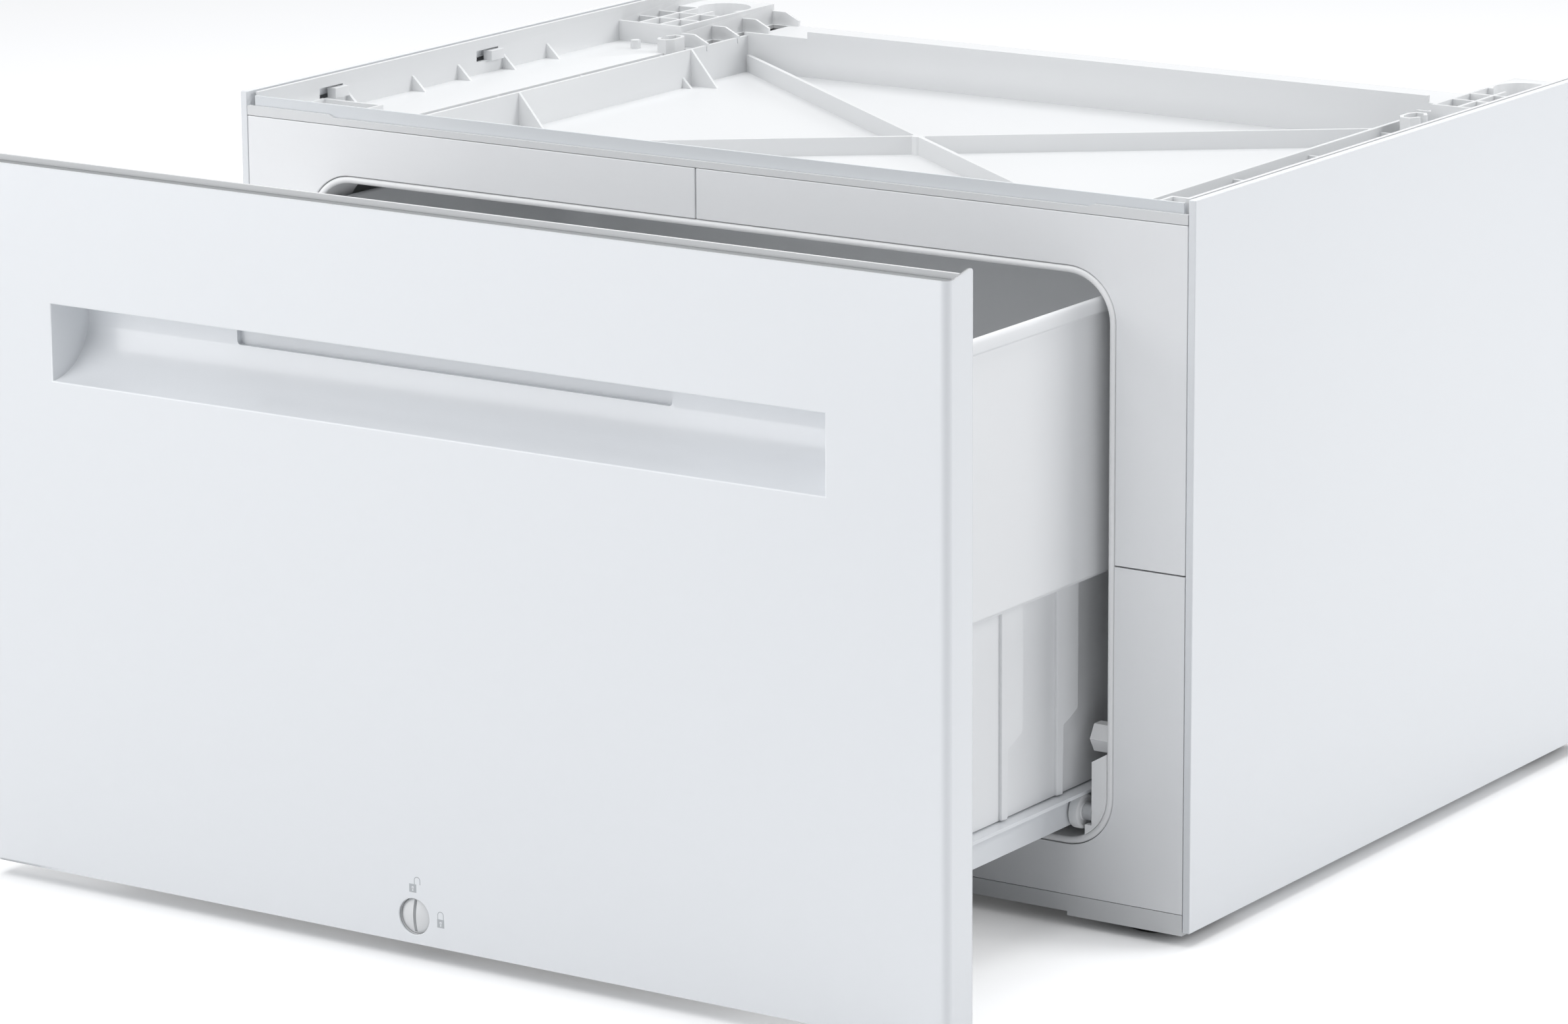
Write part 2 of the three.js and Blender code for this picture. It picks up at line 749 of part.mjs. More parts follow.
// A hollow snap hook that reaches into the rear part of a window.
function clipHook(y) {
  const low = clipBase;
  const high = clipBase + clipHeight - clipHookDrop;
  const front = y + clipLength - clipHookLength;
  const body = block([trayInside - clipHookDepth, trayHalf], [front, y + clipLength + sink],
    [low, high]);
  const hollow = block([trayInside - clipHookDepth + clipHookWall, trayHalf + over],
    [front + clipHookWall, y + clipLength - clipHookWall], [low + clipHookWall, high - clipHookWall]);
  return cut(body, hollow);
}

function socketHole(y, top) {
  return rod("z", [footX, y], socketRadius, ledgeHeight, top + over, 24);
}

function frontBlock() {
  const rear = trayFront + frontBlockLength;
  const x = [trayInside - frontBlockWidth, trayInside + sink];
  const body = block(x, [trayFront, rear], [ledgeHeight - sink, frontBlockTop]);
  const cell = block([x[0] + cellWall, trayInside - cellWall],
    [footSetback + socketRadius + cellWall, rear - cellWall], [ledgeHeight, frontBlockTop + over]);
  return cut(body, socketHole(footSetback, frontBlockTop), cell);
}

// A honeycomb of square cells, closed by a pad that holds the socket for a machine's foot.
function rearBlock() {
  const front = blockRear - rearBlockLength;
  const left = trayInside - rearBlockWidth;
  const body = block([left, trayInside + sink], [front, blockRear], [ledgeHeight - sink, rearBlockTop]);
  const rowPitch = (rearBlockLength - socketPadLength) / cellRows;
  const columnPitch = rearBlockWidth / cellColumns;
  const cells = [];
  for (let row = 0; row < cellRows; row++) {
    for (let column = 0; column < cellColumns; column++) {
      const y = front + row * rowPitch;
      const x = left + column * columnPitch;
      cells.push(block([x + cellWall, x + columnPitch], [y + cellWall, y + rowPitch],
        [ledgeHeight, rearBlockTop + over]));
    }
  }
  return cut(body, cells, socketHole(rearFootY, rearBlockTop));
}

// Gusset plates with a clipped corner, between a rear block and the pan.
function blockPlates() {
  const face = trayInside - rearBlockWidth;
  const front = blockRear - rearBlockLength;
  const tip = face - plateReach;
  const pitch = (rearBlockLength - ribThickness) / cellRows;
  const shape = outline([face + sink, ledgeHeight - sink], [face + sink, plateTop],
    [face - plateReach / 2, plateTop], [tip, plateTop - plateChamfer], [tip, ledgeHeight - sink]);
  const plates = [];
  for (let i = 0; i <= cellRows; i++) {
    const y = front + i * pitch;
    plates.push(prism(shape, "y", y, y + ribThickness));
  }
  return plates;
}

function floorSlots() {
  const face = trayInside - rearBlockWidth;
  const front = blockRear - rearBlockLength;
  const pitch = (rearBlockLength - ribThickness) / cellRows;
  const slots = [];
  for (let i = 0; i < cellRows; i++) {
    const y = front + i * pitch + ribThickness;
    slots.push(block([face - floorSlotWidth - cellWall, face - cellWall],
      [y + cellWall, y + pitch - ribThickness - cellWall], [ledgeBottom - over, ledgeHeight + over]));
  }
  return slots;
}

// An eight-sided boss shell at the rear end of the trench, open towards the ledge.
function bossShell() {
  const x = ledgeInner + trayWall - sink;
  const y = bossFront + bossLength / 2;
  const ring = (w, l) => outline([x - w, y - l / 2], [x - w / 2, y - l], [x + w / 2, y - l],
    [x + w, y - l / 2], [x + w, y + l / 2], [x + w / 2, y + l], [x - w / 2, y + l], [x - w, y + l / 2]);
  const [w, l] = [bossWidth / 2, bossLength / 2];
  const shell = prism(ring(w, l), "z", trenchFloor - sink, bossTop);
  const hollow = prism(ring(w - cellWall, l - cellWall), "z", ledgeHeight, bossTop + over);
  const mouth = block([x, x + w + over], [y - l / 3, y + l / 3],
    [ledgeHeight + cellWall, bossTop + over]);
  return cut(shell, hollow, mouth);
}

function trayLip() {
  const shelfTop = lipBottom + lipBridge;
  const lip = prism(
    outline([-panelInside, lipBottom], [panelInside, lipBottom], [panelInside, lipEndTop],
      [lipStepAt + lipStepSlope, lipEndTop], [lipStepAt - lipStepSlope, lipTop],
      [lipStepSlope - lipStepAt, lipTop], [-lipStepAt - lipStepSlope, lipEndTop],
      [-panelInside, lipEndTop]),
    "y", 0, lipThickness,
  );
  const shelf = block([-panelInside, panelInside], [0, trayFront + trayWall], [lipBottom, shelfTop]);
  const wall = block([-trayHalf, trayHalf], [trayFront, trayFront + trayWall], [trayLow, shelfTop]);
  return [lip, shelf, wall];
}

function topTray() {
  const sideWall = block([trayInside, trayHalf], [trayFront, trayRear], [trayLow, trayTop]);
  const rearWall = block([-trayHalf, trayHalf], [trayRear - trayWall, trayRear], [trayLow, ledgeHeight]);
  const ledge = block([-trayHalf, trayHalf], [trayFront, trayRear], [ledgeBottom, ledgeHeight]);
  const panRoom = block([-panHalf, panHalf], [panFront, panRear], [panFloor, ledgeHeight + over]);
  const plain = join(cut(join(ledge, bothSides(trenchTub())), panRoom), rearWall, trayLip(), panTub(),
    bothSides(sideWall));
  const opened = cut(plain, bothSides(join(trenchRoom(), ...floorSlots())),
    clipPlaces().flatMap((y) => bothSides(clipWindow(y))));
  const ribPlaces = Array.from({ length: wallRibCount }, (_, i) => wallRibStart + i * wallRibPitch);
  ribPlaces.push(clipFront + clipLength + clipRibGap);
  const wallRibs = ribPlaces.map((y) =>
    wedge(trayInside, wallRibLength, [ledgeHeight, ledgeHeight + wallRibHeight], y));
  const panGussets = [
    wedge(panHalf, panGussetLength, [panFloor, panWallTop], panGussetFront),
    wedge(panHalf, panGussetLength, [panFloor, panWallTop], panGussetRear),
    wedge(panHalf, smallGussetHeight, [panFloor, panFloor + smallGussetHeight],
      panGussetRear - smallGussetGap),
  ];
  const pin = rod("z", [pinX, pinY], pinRadius, ledgeHeight - sink, ledgeHeight + pinHeight, 6);
  const rightSide = join(...trenchRibs(), ...wallRibs, ...panGussets, ...clipPlaces().map(clipHook),
    frontBlock(), rearBlock(), ...blockPlates(), bossShell(), pin);
  return join(opened, bothSides(rightSide), panBraces());
}

// A grey steel angle that stands on the tray's shelf, behind its lip.
function topFrontRail() {
  const front = lipThickness + seat;
  const low = lipBottom + lipBridge + seat;
  const end = half - frontRailInset;
  const footEnd = trayInside - seat;
  return join(
    block([-end, end], [front, front + frontRailThickness], [low, frontRailTop]),
    block([-footEnd, footEnd], [front, front + frontRailFoot], [low, low + frontRailThickness]),
  );
}

// ---- cabinet: bottom tray, feet, back panel ----
function cornerBlock(front) {
  const inner = panelInside - cornerBlockWidth;
  const low = cornerBlockBottom;
  const y = front ? [0, cornerBlockLength] : [trayRear - cornerBlockLength, trayRear];
  const footY = front ? footSetback : rearFootY;
  const upper = front ? baseWallSetback : y[0];
  const underDeck = deckTop - deckThickness;
  const outside = join(
    block([inner, panelInside], y, [low, baseLipTop]),
    block([inner, trayHalf], [upper, y[1]], [low, underDeck + sink]),
  );
  const hollow = block([inner + trayWall, trayInside], [upper + trayWall, y[1] - trayWall],
    [low - over, underDeck]);
  const boss = rod("z", [footX, footY], footStemRadius + boreGap + bossWall, low, underDeck + sink);
  const bore = rod("z", [footX, footY], footStemRadius + boreGap, low - over,
    footStemTop + footStemRoom);
  return cut(join(cut(outside, hollow), boss), bore);
}

function bottomTray() {
  const underDeck = deckTop - deckThickness;
  const low = sheet + seat;
  const deck = block([-trayHalf, trayHalf], [baseWallSetback, trayRear], [underDeck, deckTop]);
  const wallTop = deckTop + baseWallRise;
  const sideWall = block([trayInside, trayHalf], [baseWallSetback, trayRear], [low, wallTop]);
  const wallRear = baseWallSetback + trayWall;
  const frontWall = block([-trayHalf, trayHalf], [baseWallSetback, wallRear], [low, deckTop]);
  const rearWall = block([-trayHalf, trayHalf], [trayRear - trayWall, trayRear], [low, wallTop]);
  const lip = block([-panelInside, panelInside], [0, lipThickness], [baseLipBottom, baseLipTop]);
  const shelf = block([-panelInside, panelInside], [0, wallRear], [baseLipTop - trayWall, baseLipTop]);
  const inner = panelInside - cornerBlockWidth;
  const secondLip = block([-inner - sink, inner + sink],
    [secondLipSetback, secondLipSetback + trayWall], [secondLipBottom, underDeck + sink]);
  const ribs = [];
  const ribRoom = trayRear - 2 * cornerBlockLength;
  for (let i = 0; i < baseRibCount; i++) {
    const y = cornerBlockLength + (ribRoom * (i + 0.5)) / baseRibCount;
    ribs.push(block([-trayInside - sink, trayInside + sink], [y, y + ribThickness],
      [underDeck - baseRibDepth, underDeck + sink]));
  }
  const keel = block([footX - bossWall, footX - bossWall + ribThickness],
    [cornerBlockLength - sink, trayRear - cornerBlockLength + sink],
    [underDeck - baseRibDepth, underDeck + sink]);
  return join(deck, bothSides(sideWall), frontWall, rearWall, lip, shelf, secondLip, ...ribs,
    bothSides(join(keel, cornerBlock(true), cornerBlock(false))));
}

function levellingFoot(x, y) {
  const discTop = footDiscHeight - footDrop;
  const neckTop = cornerBlockBottom - seat;
  const neck = footStemRadius + bossWall;
  return turned([[0, -footDrop], [footRadius - footEdge, -footDrop], [footRadius, footEdge - footDrop],
    [footRadius, discTop - footEdge], [footRadius - footEdge, discTop], [neck, discTop],
    [neck, neckTop], [footStemRadius, neckTop], [footStemRadius, footStemTop - footEdge],
    [footStemRadius - footEdge, footStemTop], [0, footStemTop]], [x, y, 0]);
}

const screwX = half - rearFlangeWidth / 2;
const backScrewPlaces = Array.from({ length: backScrewCount }, (_, i) =>
  [screwX, backScrewLowest + i * backScrewPitch]);

function cutScrewHoles(panel) {
  const holes = backScrewPlaces.map((place) =>
    rod("y", place, screwShankRadius + boreGap, rearFlangeFront - over, cabinetDepth, 10));
  return cut(panel, holes);
}

// A rib pressed out of the back panel towards the drawer: its outside and the hollow behind it.
function backRib(z, front) {
  const base = backRibHeight / 2;
  const crest = backRibHeight / 3;
  const outside = outline([front + sheet / 2, z - base], [front - backRibDepth, z - crest],
    [front - backRibDepth, z + crest], [front + sheet / 2, z + base]);
  const top = front - backRibDepth + sheet;
  const hollow = outline([front + over, z - base + sheet], [top, z - crest + sheet],
    [top, z + crest - sheet], [front + over, z + base - sheet]);
  return [outside, hollow];
}

function backPanel() {
  const edge = half - sheet - seat;
  const front = backRear - sheet;
  const ribHalf = half - foldWidth - rearFlangeWidth - backRibHeight;
  const pitch = (backScrewPitch + backRibHeight) / 2;
  let panel = block([-edge, edge], [front, backRear], [backBottom, backTop]);
  for (let i = 0; i < backRibCount; i++) {
    const z = (backBottom + backTop) / 2 + (i - (backRibCount - 1) / 2) * pitch;
    const [outside, hollow] = backRib(z, front);
    panel = join(panel, prism(outside, "x", -ribHalf, ribHalf));
    panel = cut(panel, prism(hollow, "x", sheet - ribHalf, ribHalf - sheet));
  }
  const holes = backScrewPlaces.flatMap((place) =>
    bothSides(rod("y", place, screwShankRadius + boreGap, 0, cabinetDepth, 10)));
  return cut(panel, holes);
}

// A pan-head screw along y: its head stands on the face at y = face, its shank points forwards.
function screw([x, z], face) {
  return join(
    rod("y", [x, z], screwHeadRadius, face, face + screwHeadHeight, 10),
    rod("y", [x, z], screwShankRadius, face - screwLength, face + sink, 6),
  );
}

// ---- slides ----
// A roller with rounded edges about an axle along x; inner is its face towards the drawer.
function roller(inner, width, y, z) {
  const bore = axleRadius + boreGap;
  const outer = inner + width;
  const edge = rollerRadius - rollerEdge;
  return turned([[bore, inner], [edge, inner], [rollerRadius, inner + rollerEdge],
    [rollerRadius, outer - rollerEdge], [edge, outer], [bore, outer], [bore, inner]], [0, y, z], "x");
}

function frontAxle() {
  const centre = [frontRollerY, frontRollerZ];
  const outer = frontRollerInner + frontRollerWidth;
  return join(
    rod("x", centre, axleRadius, frontRollerInner + axleEndGap, bracketFace + axleSocketDepth, 12),
    rod("x", centre, axleShoulderRadius, outer + shoulderGap, bracketFace - shoulderGap, 14),
  );
}

// A moulded bracket inside the tunnel: it holds the front axle, a foot and a guide nose.
function rollerBracket() {
  const outer = linerHalf - seat;
  const y = [bracketFront, bracketFront + bracketLength];
  const low = linerBottom + bracketLift;
  const cheek = prism(outline([bracketFace, low], [outer, low], [outer, bracketTopOuter],
    [bracketFace, bracketTopInner]), "y", ...y);
  const foot = block([bracketFootFace, outer], y, [low, bracketFootTop]);
  const noseMiddle = (noseBottom + noseTop) / 2;
  const noseRear = noseFront + noseLength;
  const nose = prism(outline([noseFront, noseMiddle], [noseFront + noseChamfer, noseBottom],
    [noseRear - noseChamfer, noseBottom], [noseRear, noseMiddle], [noseRear - noseChamfer, noseTop],
    [noseFront + noseChamfer, noseTop]), "x", noseFace, outer);
  const bore = rod("x", [frontRollerY, frontRollerZ], axleRadius + boreGap, bracketFace - over,
    bracketFace + axleSocketDepth + boreGap, 12);
  const tunnelRoom = prism(roundedRectangle(...linerEdge(-seat)), "y", -over, linerDepth + over);
  return cut(join(cheek, foot, nose).intersect(tunnelRoom), bore);
}

function cabinetRail() {
  const webOuter = railWeb + railThickness;
  const inner = railWeb - railReach;
  const y = [railFront, railRear];
  const low = railTrackTop - railThickness;
  const high = railTrackUnderside + railThickness;
  const legTop = frontRollerZ;
  const web = block([railWeb, webOuter], y, [low, high]);
  const tracks = [
    block([inner, webOuter], y, [low, railTrackTop]),
    block([inner, webOuter], y, [railTrackUnderside, high]),
  ];
  const stop = block([inner, railWeb + sink], [railFront, railFront + railThickness],
    [railTrackTop - sink, legTop]);
  const legs = [];
  const legLow = deckTop + seat;
  const pitch = (railRear - railFront - railLegLength) / (railLegCount - 1);
  for (let i = 0; i < railLegCount; i++) {
    const leg = [railFront + i * pitch, railFront + i * pitch + railLegLength];
    legs.push(block([webOuter - sink, webOuter + railThickness], leg, [legLow, legTop]));
    legs.push(block([webOuter - sink, webOuter + railLegFoot], leg, [legLow, legLow + railThickness]));
  }
  return join(web, ...tracks, stop, ...legs);
}

// The drawer's runner: its flange rides on the front roller.
function runner() {
  const y = [innerPanelRear + runnerFrontGap, binRear - runnerRearInset];
  const body = join(
    block([runnerInner, runnerOuter], y, [runnerBottom, runnerFlangeTop]),
    block([runnerInner, runnerFlangeReach], y,
      [runnerFlangeTop - runnerFlangeThickness, runnerFlangeTop]),
  );
  const hole = rod("x", [rearRollerY, rearRollerZ], axleRadius + boreGap, runnerInner - over,
    runnerOuter + over, 12);
  return cut(body, hole);
}

function rearAxle() {
  const centre = [rearRollerY, rearRollerZ];
  const collar = rearRollerInner + rearRollerWidth + seat;
  return join(
    rod("x", centre, axleRadius, runnerInner + axleEndGap, collar + axleCollarWidth / 2, 12),
    rod("x", centre, axleShoulderRadius, runnerOuter + seat, rearRollerInner - seat, 14),
    rod("x", centre, axleShoulderRadius, collar, collar + axleCollarWidth, 14),
  );
}

// ---- door ----
// The painted front wraps round both sides; each side return rises to a rounded tip.
function frontSkin() {
  const outer = prism(roundedRectangle([-doorHalf, doorHalf], [0, 2 * doorDepth], doorEdgeRadius),
    "z", doorBottom, doorTop);
  const inner = prism(roundedRectangle([-skinInside, skinInside], [doorSkin, 2 * doorDepth + over],
    doorEdgeRadius - doorSkin), "z", doorBottom + doorSkin, doorTop + over);
  const behind = block([-half, half], [doorDepth, 3 * doorDepth], [doorBottom - over, doorTop + over]);
  const below = block([-skinInside, skinInside], [coreDepth, doorDepth + over],
    [doorBottom - over, doorBottom + doorSkin + over]);
  const tipTop = doorTop + doorTipRise;
  const tip = prism(outline([doorTipFrom, doorTop - sink], [doorDepth, doorTop - sink],
    [doorDepth, tipTop - doorTipRound], [doorDepth - doorTipRound, tipTop],
    [doorTipFrom + doorTipLength, tipTop], [doorTipFrom, doorTop]), "x", skinInside, doorHalf);
  const recess = prism(roundedRectangle([recessLeft, recessRight], [recessBottom, recessTop],
    recessCorner), "y", -over, coreFront + over, 3);
  const knobHole = rod("y", [lockX, lockZ], knobRadius + knobGap, -over, coreFront + over, 28);
  return cut(join(cut(outer, inner, behind, below), bothSides(tip)), recess, knobHole);
}

function doorCore() {
  const gap = scoopFlange + seat;
  const plan = roundedRectangle([-coreHalf, coreHalf], [coreFront, coreDepth], doorEdgeRadius - doorSkin);
  const body = prism(plan, "z", doorBottom + doorSkin + seat, doorTop - coreTopInset, 3);
  const window = block([recessLeft - gap, recessRight + gap], [0, doorDepth],
    [recessBottom - gap, recessTop + gap]);
  const lockHole = rod("y", [lockX, lockZ], housingRadius + seat, 0, doorDepth, 24);
  return cut(body, window, lockHole);
}

// The inner panel: a plate, a raised platform and a bulge that enters the opening, all hollow
// towards the front. The bulge's stem stays between the front rollers.
function bulge(shrink, from, to) {
  const wide = bulgeHalf - shrink;
  const stem = stemHalf - shrink;
  const upper = prism(roundedRectangle([-wide, wide], [bulgeBottom + shrink, bulgeTop - shrink],
    bulgeRadius - shrink), "y", from, to, 5);
  const lower = prism(roundedRectangle([-stem, stem], [stemBottom + shrink, bulgeTop - bulgeRadius],
    bulgeRadius - shrink), "y", from, to, 5);
  return join(upper, lower);
}

function platform(shrink, from, to) {
  const edge = coreHalf - platformInset - shrink;
  return prism(roundedRectangle([-edge, edge], [platformBottom + shrink,
    innerPanelTop - platformInset - shrink], platformInset - shrink), "y", from, to, 4);
}

function innerPanel() {
  const t = innerPanelThickness;
  const plate = block([-coreHalf, coreHalf], [innerPanelFront, innerPanelRear],
    [doorBottom + doorSkin + seat, innerPanelTop]);
  const outside = join(plate, platform(0, innerPanelFront, doorDepth),
    bulge(0, innerPanelFront, bulgeDepth));
  const hollow = join(platform(t, innerPanelFront - over, doorDepth - t),
    bulge(t, innerPanelFront - over, bulgeDepth - t));
  const lockHole = rod("y", [lockX, lockZ], housingRadius + seat, 0, doorDepth, 24);
  return cut(outside, hollow, lockHole, binScrewHoles());
}

// ---- handle recess ----
function scoopProfile(grown, front) {
  const low = recessBottom - grown;
  const shape = new THREE.Shape();
  shape.moveTo(front, low);
  shape.lineTo(0, low);
  shape.quadraticCurveTo(recessBellyDepth + grown, low + recessBellyRise,
    recessDepth + grown, slotBottom - grown / 3);
  shape.lineTo(recessDepth + grown, recessTop + grown);
  shape.lineTo(front, recessTop + grown);
  return shape;
}

function scoopPlan(grown, front) {
  const draft = recessEndDraft;
  const rear = recessDepth + grown;
  return outline([recessLeft - grown, front], [recessRight + grown, front],
    [recessRight + grown, 0], [recessRight + grown - draft, rear],
    [recessLeft - grown + draft, rear], [recessLeft - grown, 0]);
}

function scoopBody(grown, front) {
  const along = prism(scoopProfile(grown, front), "x", recessLeft - scoopFlange,
    recessRight + scoopFlange, 9);
  const plan = prism(scoopPlan(grown, front), "z", recessBottom - scoopFlange, recessTop + scoopFlange);
  return along.intersect(plan);
}

// A moulded trough with a curved floor and a finger pocket that rises behind the door's front.
function handleScoop() {
  const flange = block([recessLeft - scoopFlange, recessRight + scoopFlange],
    [coreFront, coreFront + scoopWall], [recessBottom - scoopFlange, recessTop + scoopFlange]);
  const pocket = (grown) => block([slotLeft - grown, slotRight + grown],
    [slotFront - grown, slotDepth + grown], [slotBottom - grown, recessTop + slotRise + grown]);
  const inFront = block([-half, half], [-doorDepth, coreFront], [0, panelHeight]);
  const outside = join(scoopBody(scoopWall, -sink), flange, pocket(scoopWall));
  return cut(outside, inFront, scoopBody(0, -over), pocket(0));
}

// ---- lock ----
function lockHousing() {
  const body = rod("y", [lockX, lockZ], housingRadius, coreFront, housingRear, 28);
  const knobRoom = rod("y", [lockX, lockZ], knobRadius + knobGap, 0,
    knobInset + knobThickness + seat, 28);
  const bore = rod("y", [lockX, lockZ], lockStemRadius + boreGap, 0, doorDepth, 16);
  return cut(body, knobRoom, bore);
}

function lockKnob() {
  const front = knobInset;
  const face = rod("y", [lockX, lockZ], knobRadius, front, front + knobThickness, 28);
  const stem = rod("y", [lockX, lockZ], lockStemRadius, front + knobThickness - sink,
    camFront - seat, 16);
  const reach = knobRadius - coinSlotEdge;
  const coinSlot = block([lockX - coinSlotWidth / 2, lockX + coinSlotWidth / 2],
    [front - over, front + coinSlotDepth], [lockZ - reach, lockZ + reach]);
  const bore = rod("y", [lockX, lockZ], screwShankRadius + boreGap, camFront - screwLength, camFront, 10);
  return cut(join(face, stem), coinSlot, bore);
}

// The cam: a hub and an arm that points up while the drawer is free.
function lockCam() {
  const arm = prism(roundedRectangle([lockX - camHalfWidth, lockX + camHalfWidth],
    [lockZ - camHalfWidth, lockZ + camReach], camRound), "y", camFront, camFront + camThickness, 4);
  return cut(arm, rod("y", [lockX, lockZ], screwShankRadius + boreGap, 0, camFront + over, 10));
}

// ---- bin ----
const binScrewPlaces = [[binScrewX, binScrewUpper], [binScrewX, binScrewLower]];

function binScrewHoles() {
  return binScrewPlaces.flatMap((place) =>
    bothSides(rod("y", place, screwShankRadius + boreGap,
      bulgeDepth - innerPanelThickness - over, binFront + binWall + over, 10)));
}

// Sections of the bin as [height, half width], from the floor to the rim.
function binSections(wall, rimWall) {
  const band = bandHalf - wall;
  const lower = lowerHalf - wall;
  const shoe = runnerInner - seat - wall;
  const rim = rimHalf - rimWall;
  const rimLow = binTop - binRimHeight;
  const low = runnerBottom + (wall > 0 ? binFloor : 0);
  const rise = wall / 2;
  const step = runnerFlangeTop + seat - rise;
  const undercut = [[-1, 0], [-0.5, 0.35], [-0.15, 0.8], [0.25, 1]]; // shares of height and width
  const stack = [
    [low, shoe - binFootRound],
    [low + 0.3 * binFootRound, shoe - 0.3 * binFootRound],
    [low + binFootRound, shoe],
    [step, shoe],
    [step + binStepRise, lower],
    ...undercut.map(([up, out]) =>
      [binBandBottom + rise + up * binUndercut, lower + out * (band - lower)]),
  ];
  if (wall > 0) {
    stack.push([rimLow - binRimRound, band], [rimLow + sink, rim], [binTop - sink, rim],
      [binTop + over, rim + sink]);
  } else {
    stack.push([rimLow, band], [rimLow + binRimRound / 6, rim], [binTop - binRimRound, rim],
      [binTop - 0.3 * binRimRound, rim - 0.3 * binRimRound], [binTop, rim - binRimRound]);
  }
  return stack;
}

function binShape(wall, rimWall) {
  const levels = binSections(wall, rimWall).map(([z, halfWidth]) => {
    const lean = binDraft * (1 - (z - runnerBottom) / (binTop - runnerBottom));
    return [z, halfWidth, binFront + wall, binRear - wall - lean, binCornerRadius - wall];
  });
  return lofted(levels);
}

// A pad on the lower side wall; its front edge runs on as a narrow rib down to the runner.
function binPad(rear) {
  const front = rear - padLength;
  const top = binBandBottom - sink;
  const foot = runnerFlangeTop + seat + padFootGap;
  const shape = outline([front, top], [front, foot], [front + padRibLength, foot],
    [front + padRibLength, padBottom - padSlant], [rear, padBottom], [rear, top]);
  return prism(shape, "x", lowerHalf - sink, padFace);
}

function bin() {
  const pads = [];
  for (let i = 0; i < padCount; i++) {
    pads.push(...bothSides(binPad(padFirstRear + i * padPitch)));
  }
  const shell = cut(join(binShape(0, 0), ...pads), binShape(binWall, binRimWall));
  return cut(shell, binScrewHoles());
}

// ---- assembly ----
const cabinet = new THREE.Group();
const drawer = new THREE.Group();
const left = (name) => `${name}_left`;
const right = (name) => `${name}_right`;

function addPair(group, name, solid, finish) {
  group.add(piece(right(name), solid, finish), piece(left(name), mirrored(solid), finish));
}

addPair(cabinet, "side_panel", cutScrewHoles(sidePanel()), "paintedWhite");
cabinet.add(
  piece("back_panel", backPanel(), "zincSteel"),
  piece("top_tray", topTray(), "mouldedWhite"),
  piece("top_front_rail", topFrontRail(), "greySteel"),
  piece("bottom_tray", bottomTray(), "mouldedWhite"),
  piece("opening_liner", openingLiner(), "mouldedWhite"),
  piece("frame_upper_right", frameQuarter(true), "paintedWhite"),
  piece("frame_upper_left", mirrored(frameQuarter(true)), "paintedWhite"),
  piece("frame_lower_right", frameQuarter(false), "paintedWhite"),
  piece("frame_lower_left", cut(mirrored(frameQuarter(false)), strikeNotch()), "paintedWhite"),
);
addPair(cabinet, "roller_bracket", rollerBracket(), "mouldedWhite");
addPair(cabinet, "front_axle", frontAxle(), "zincSteel");
const frontRoller = roller(frontRollerInner, frontRollerWidth, frontRollerY, frontRollerZ);
addPair(cabinet, "front_roller", frontRoller, "rollerPlastic");
addPair(cabinet, "cabinet_rail", cabinetRail(), "zincSteel");
backScrewPlaces.forEach((place, i) => {
  addPair(cabinet, `back_screw_${i + 1}`, screw(place, rearFlangeFront + sheet + seat), "zincSteel");
});
addPair(cabinet, "foot_front", levellingFoot(footX, footSetback), "darkRubber");
addPair(cabinet, "foot_rear", levellingFoot(footX, rearFootY), "darkRubber");

drawer.add(
  piece("door_skin", frontSkin(), "paintedWhite"),
  piece("door_core", doorCore(), "greyCore"),
  piece("door_inner_panel", innerPanel(), "mouldedWhite"),
  piece("handle_scoop", handleScoop(), "paintedWhite"),
  piece("lock_housing", lockHousing(), "mouldedWhite"),
  piece("lock_knob", lockKnob(), "mouldedWhite"),
  piece("lock_cam", lockCam(), "zincSteel"),
  piece("lock_cam_screw", screw([lockX, lockZ], camFront + camThickness + seat), "zincSteel"),
  piece("drawer_bin", bin(), "binPlastic"),
);
addPair(drawer, "drawer_runner", runner(), "paintedWhite");
addPair(drawer, "rear_axle", rearAxle(), "zincSteel");
const rearRoller = roller(rearRollerInner, rearRollerWidth, rearRollerY, rearRollerZ);
addPair(drawer, "rear_roller", rearRoller, "rollerPlastic");
binScrewPlaces.forEach((place, i) => {
  addPair(drawer, `bin_screw_${i + 1}`, screw(place, binFront + binWall + seat), "zincSteel");
});

// The drawer stands open; the part's origin lies on the floor under the middle of the whole.
drawer.position.y = closedDoor - drawerOut;
cabinet.add(drawer);
cabinet.position.set(0, -(cabinetDepth + closedDoor - drawerOut) / 2, footDrop);
const pedestal = new THREE.Group();
pedestal.add(cabinet);

export default pedestal;
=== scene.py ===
import json
import math

import bmesh
import bpy
from mathutils import Matrix, Vector


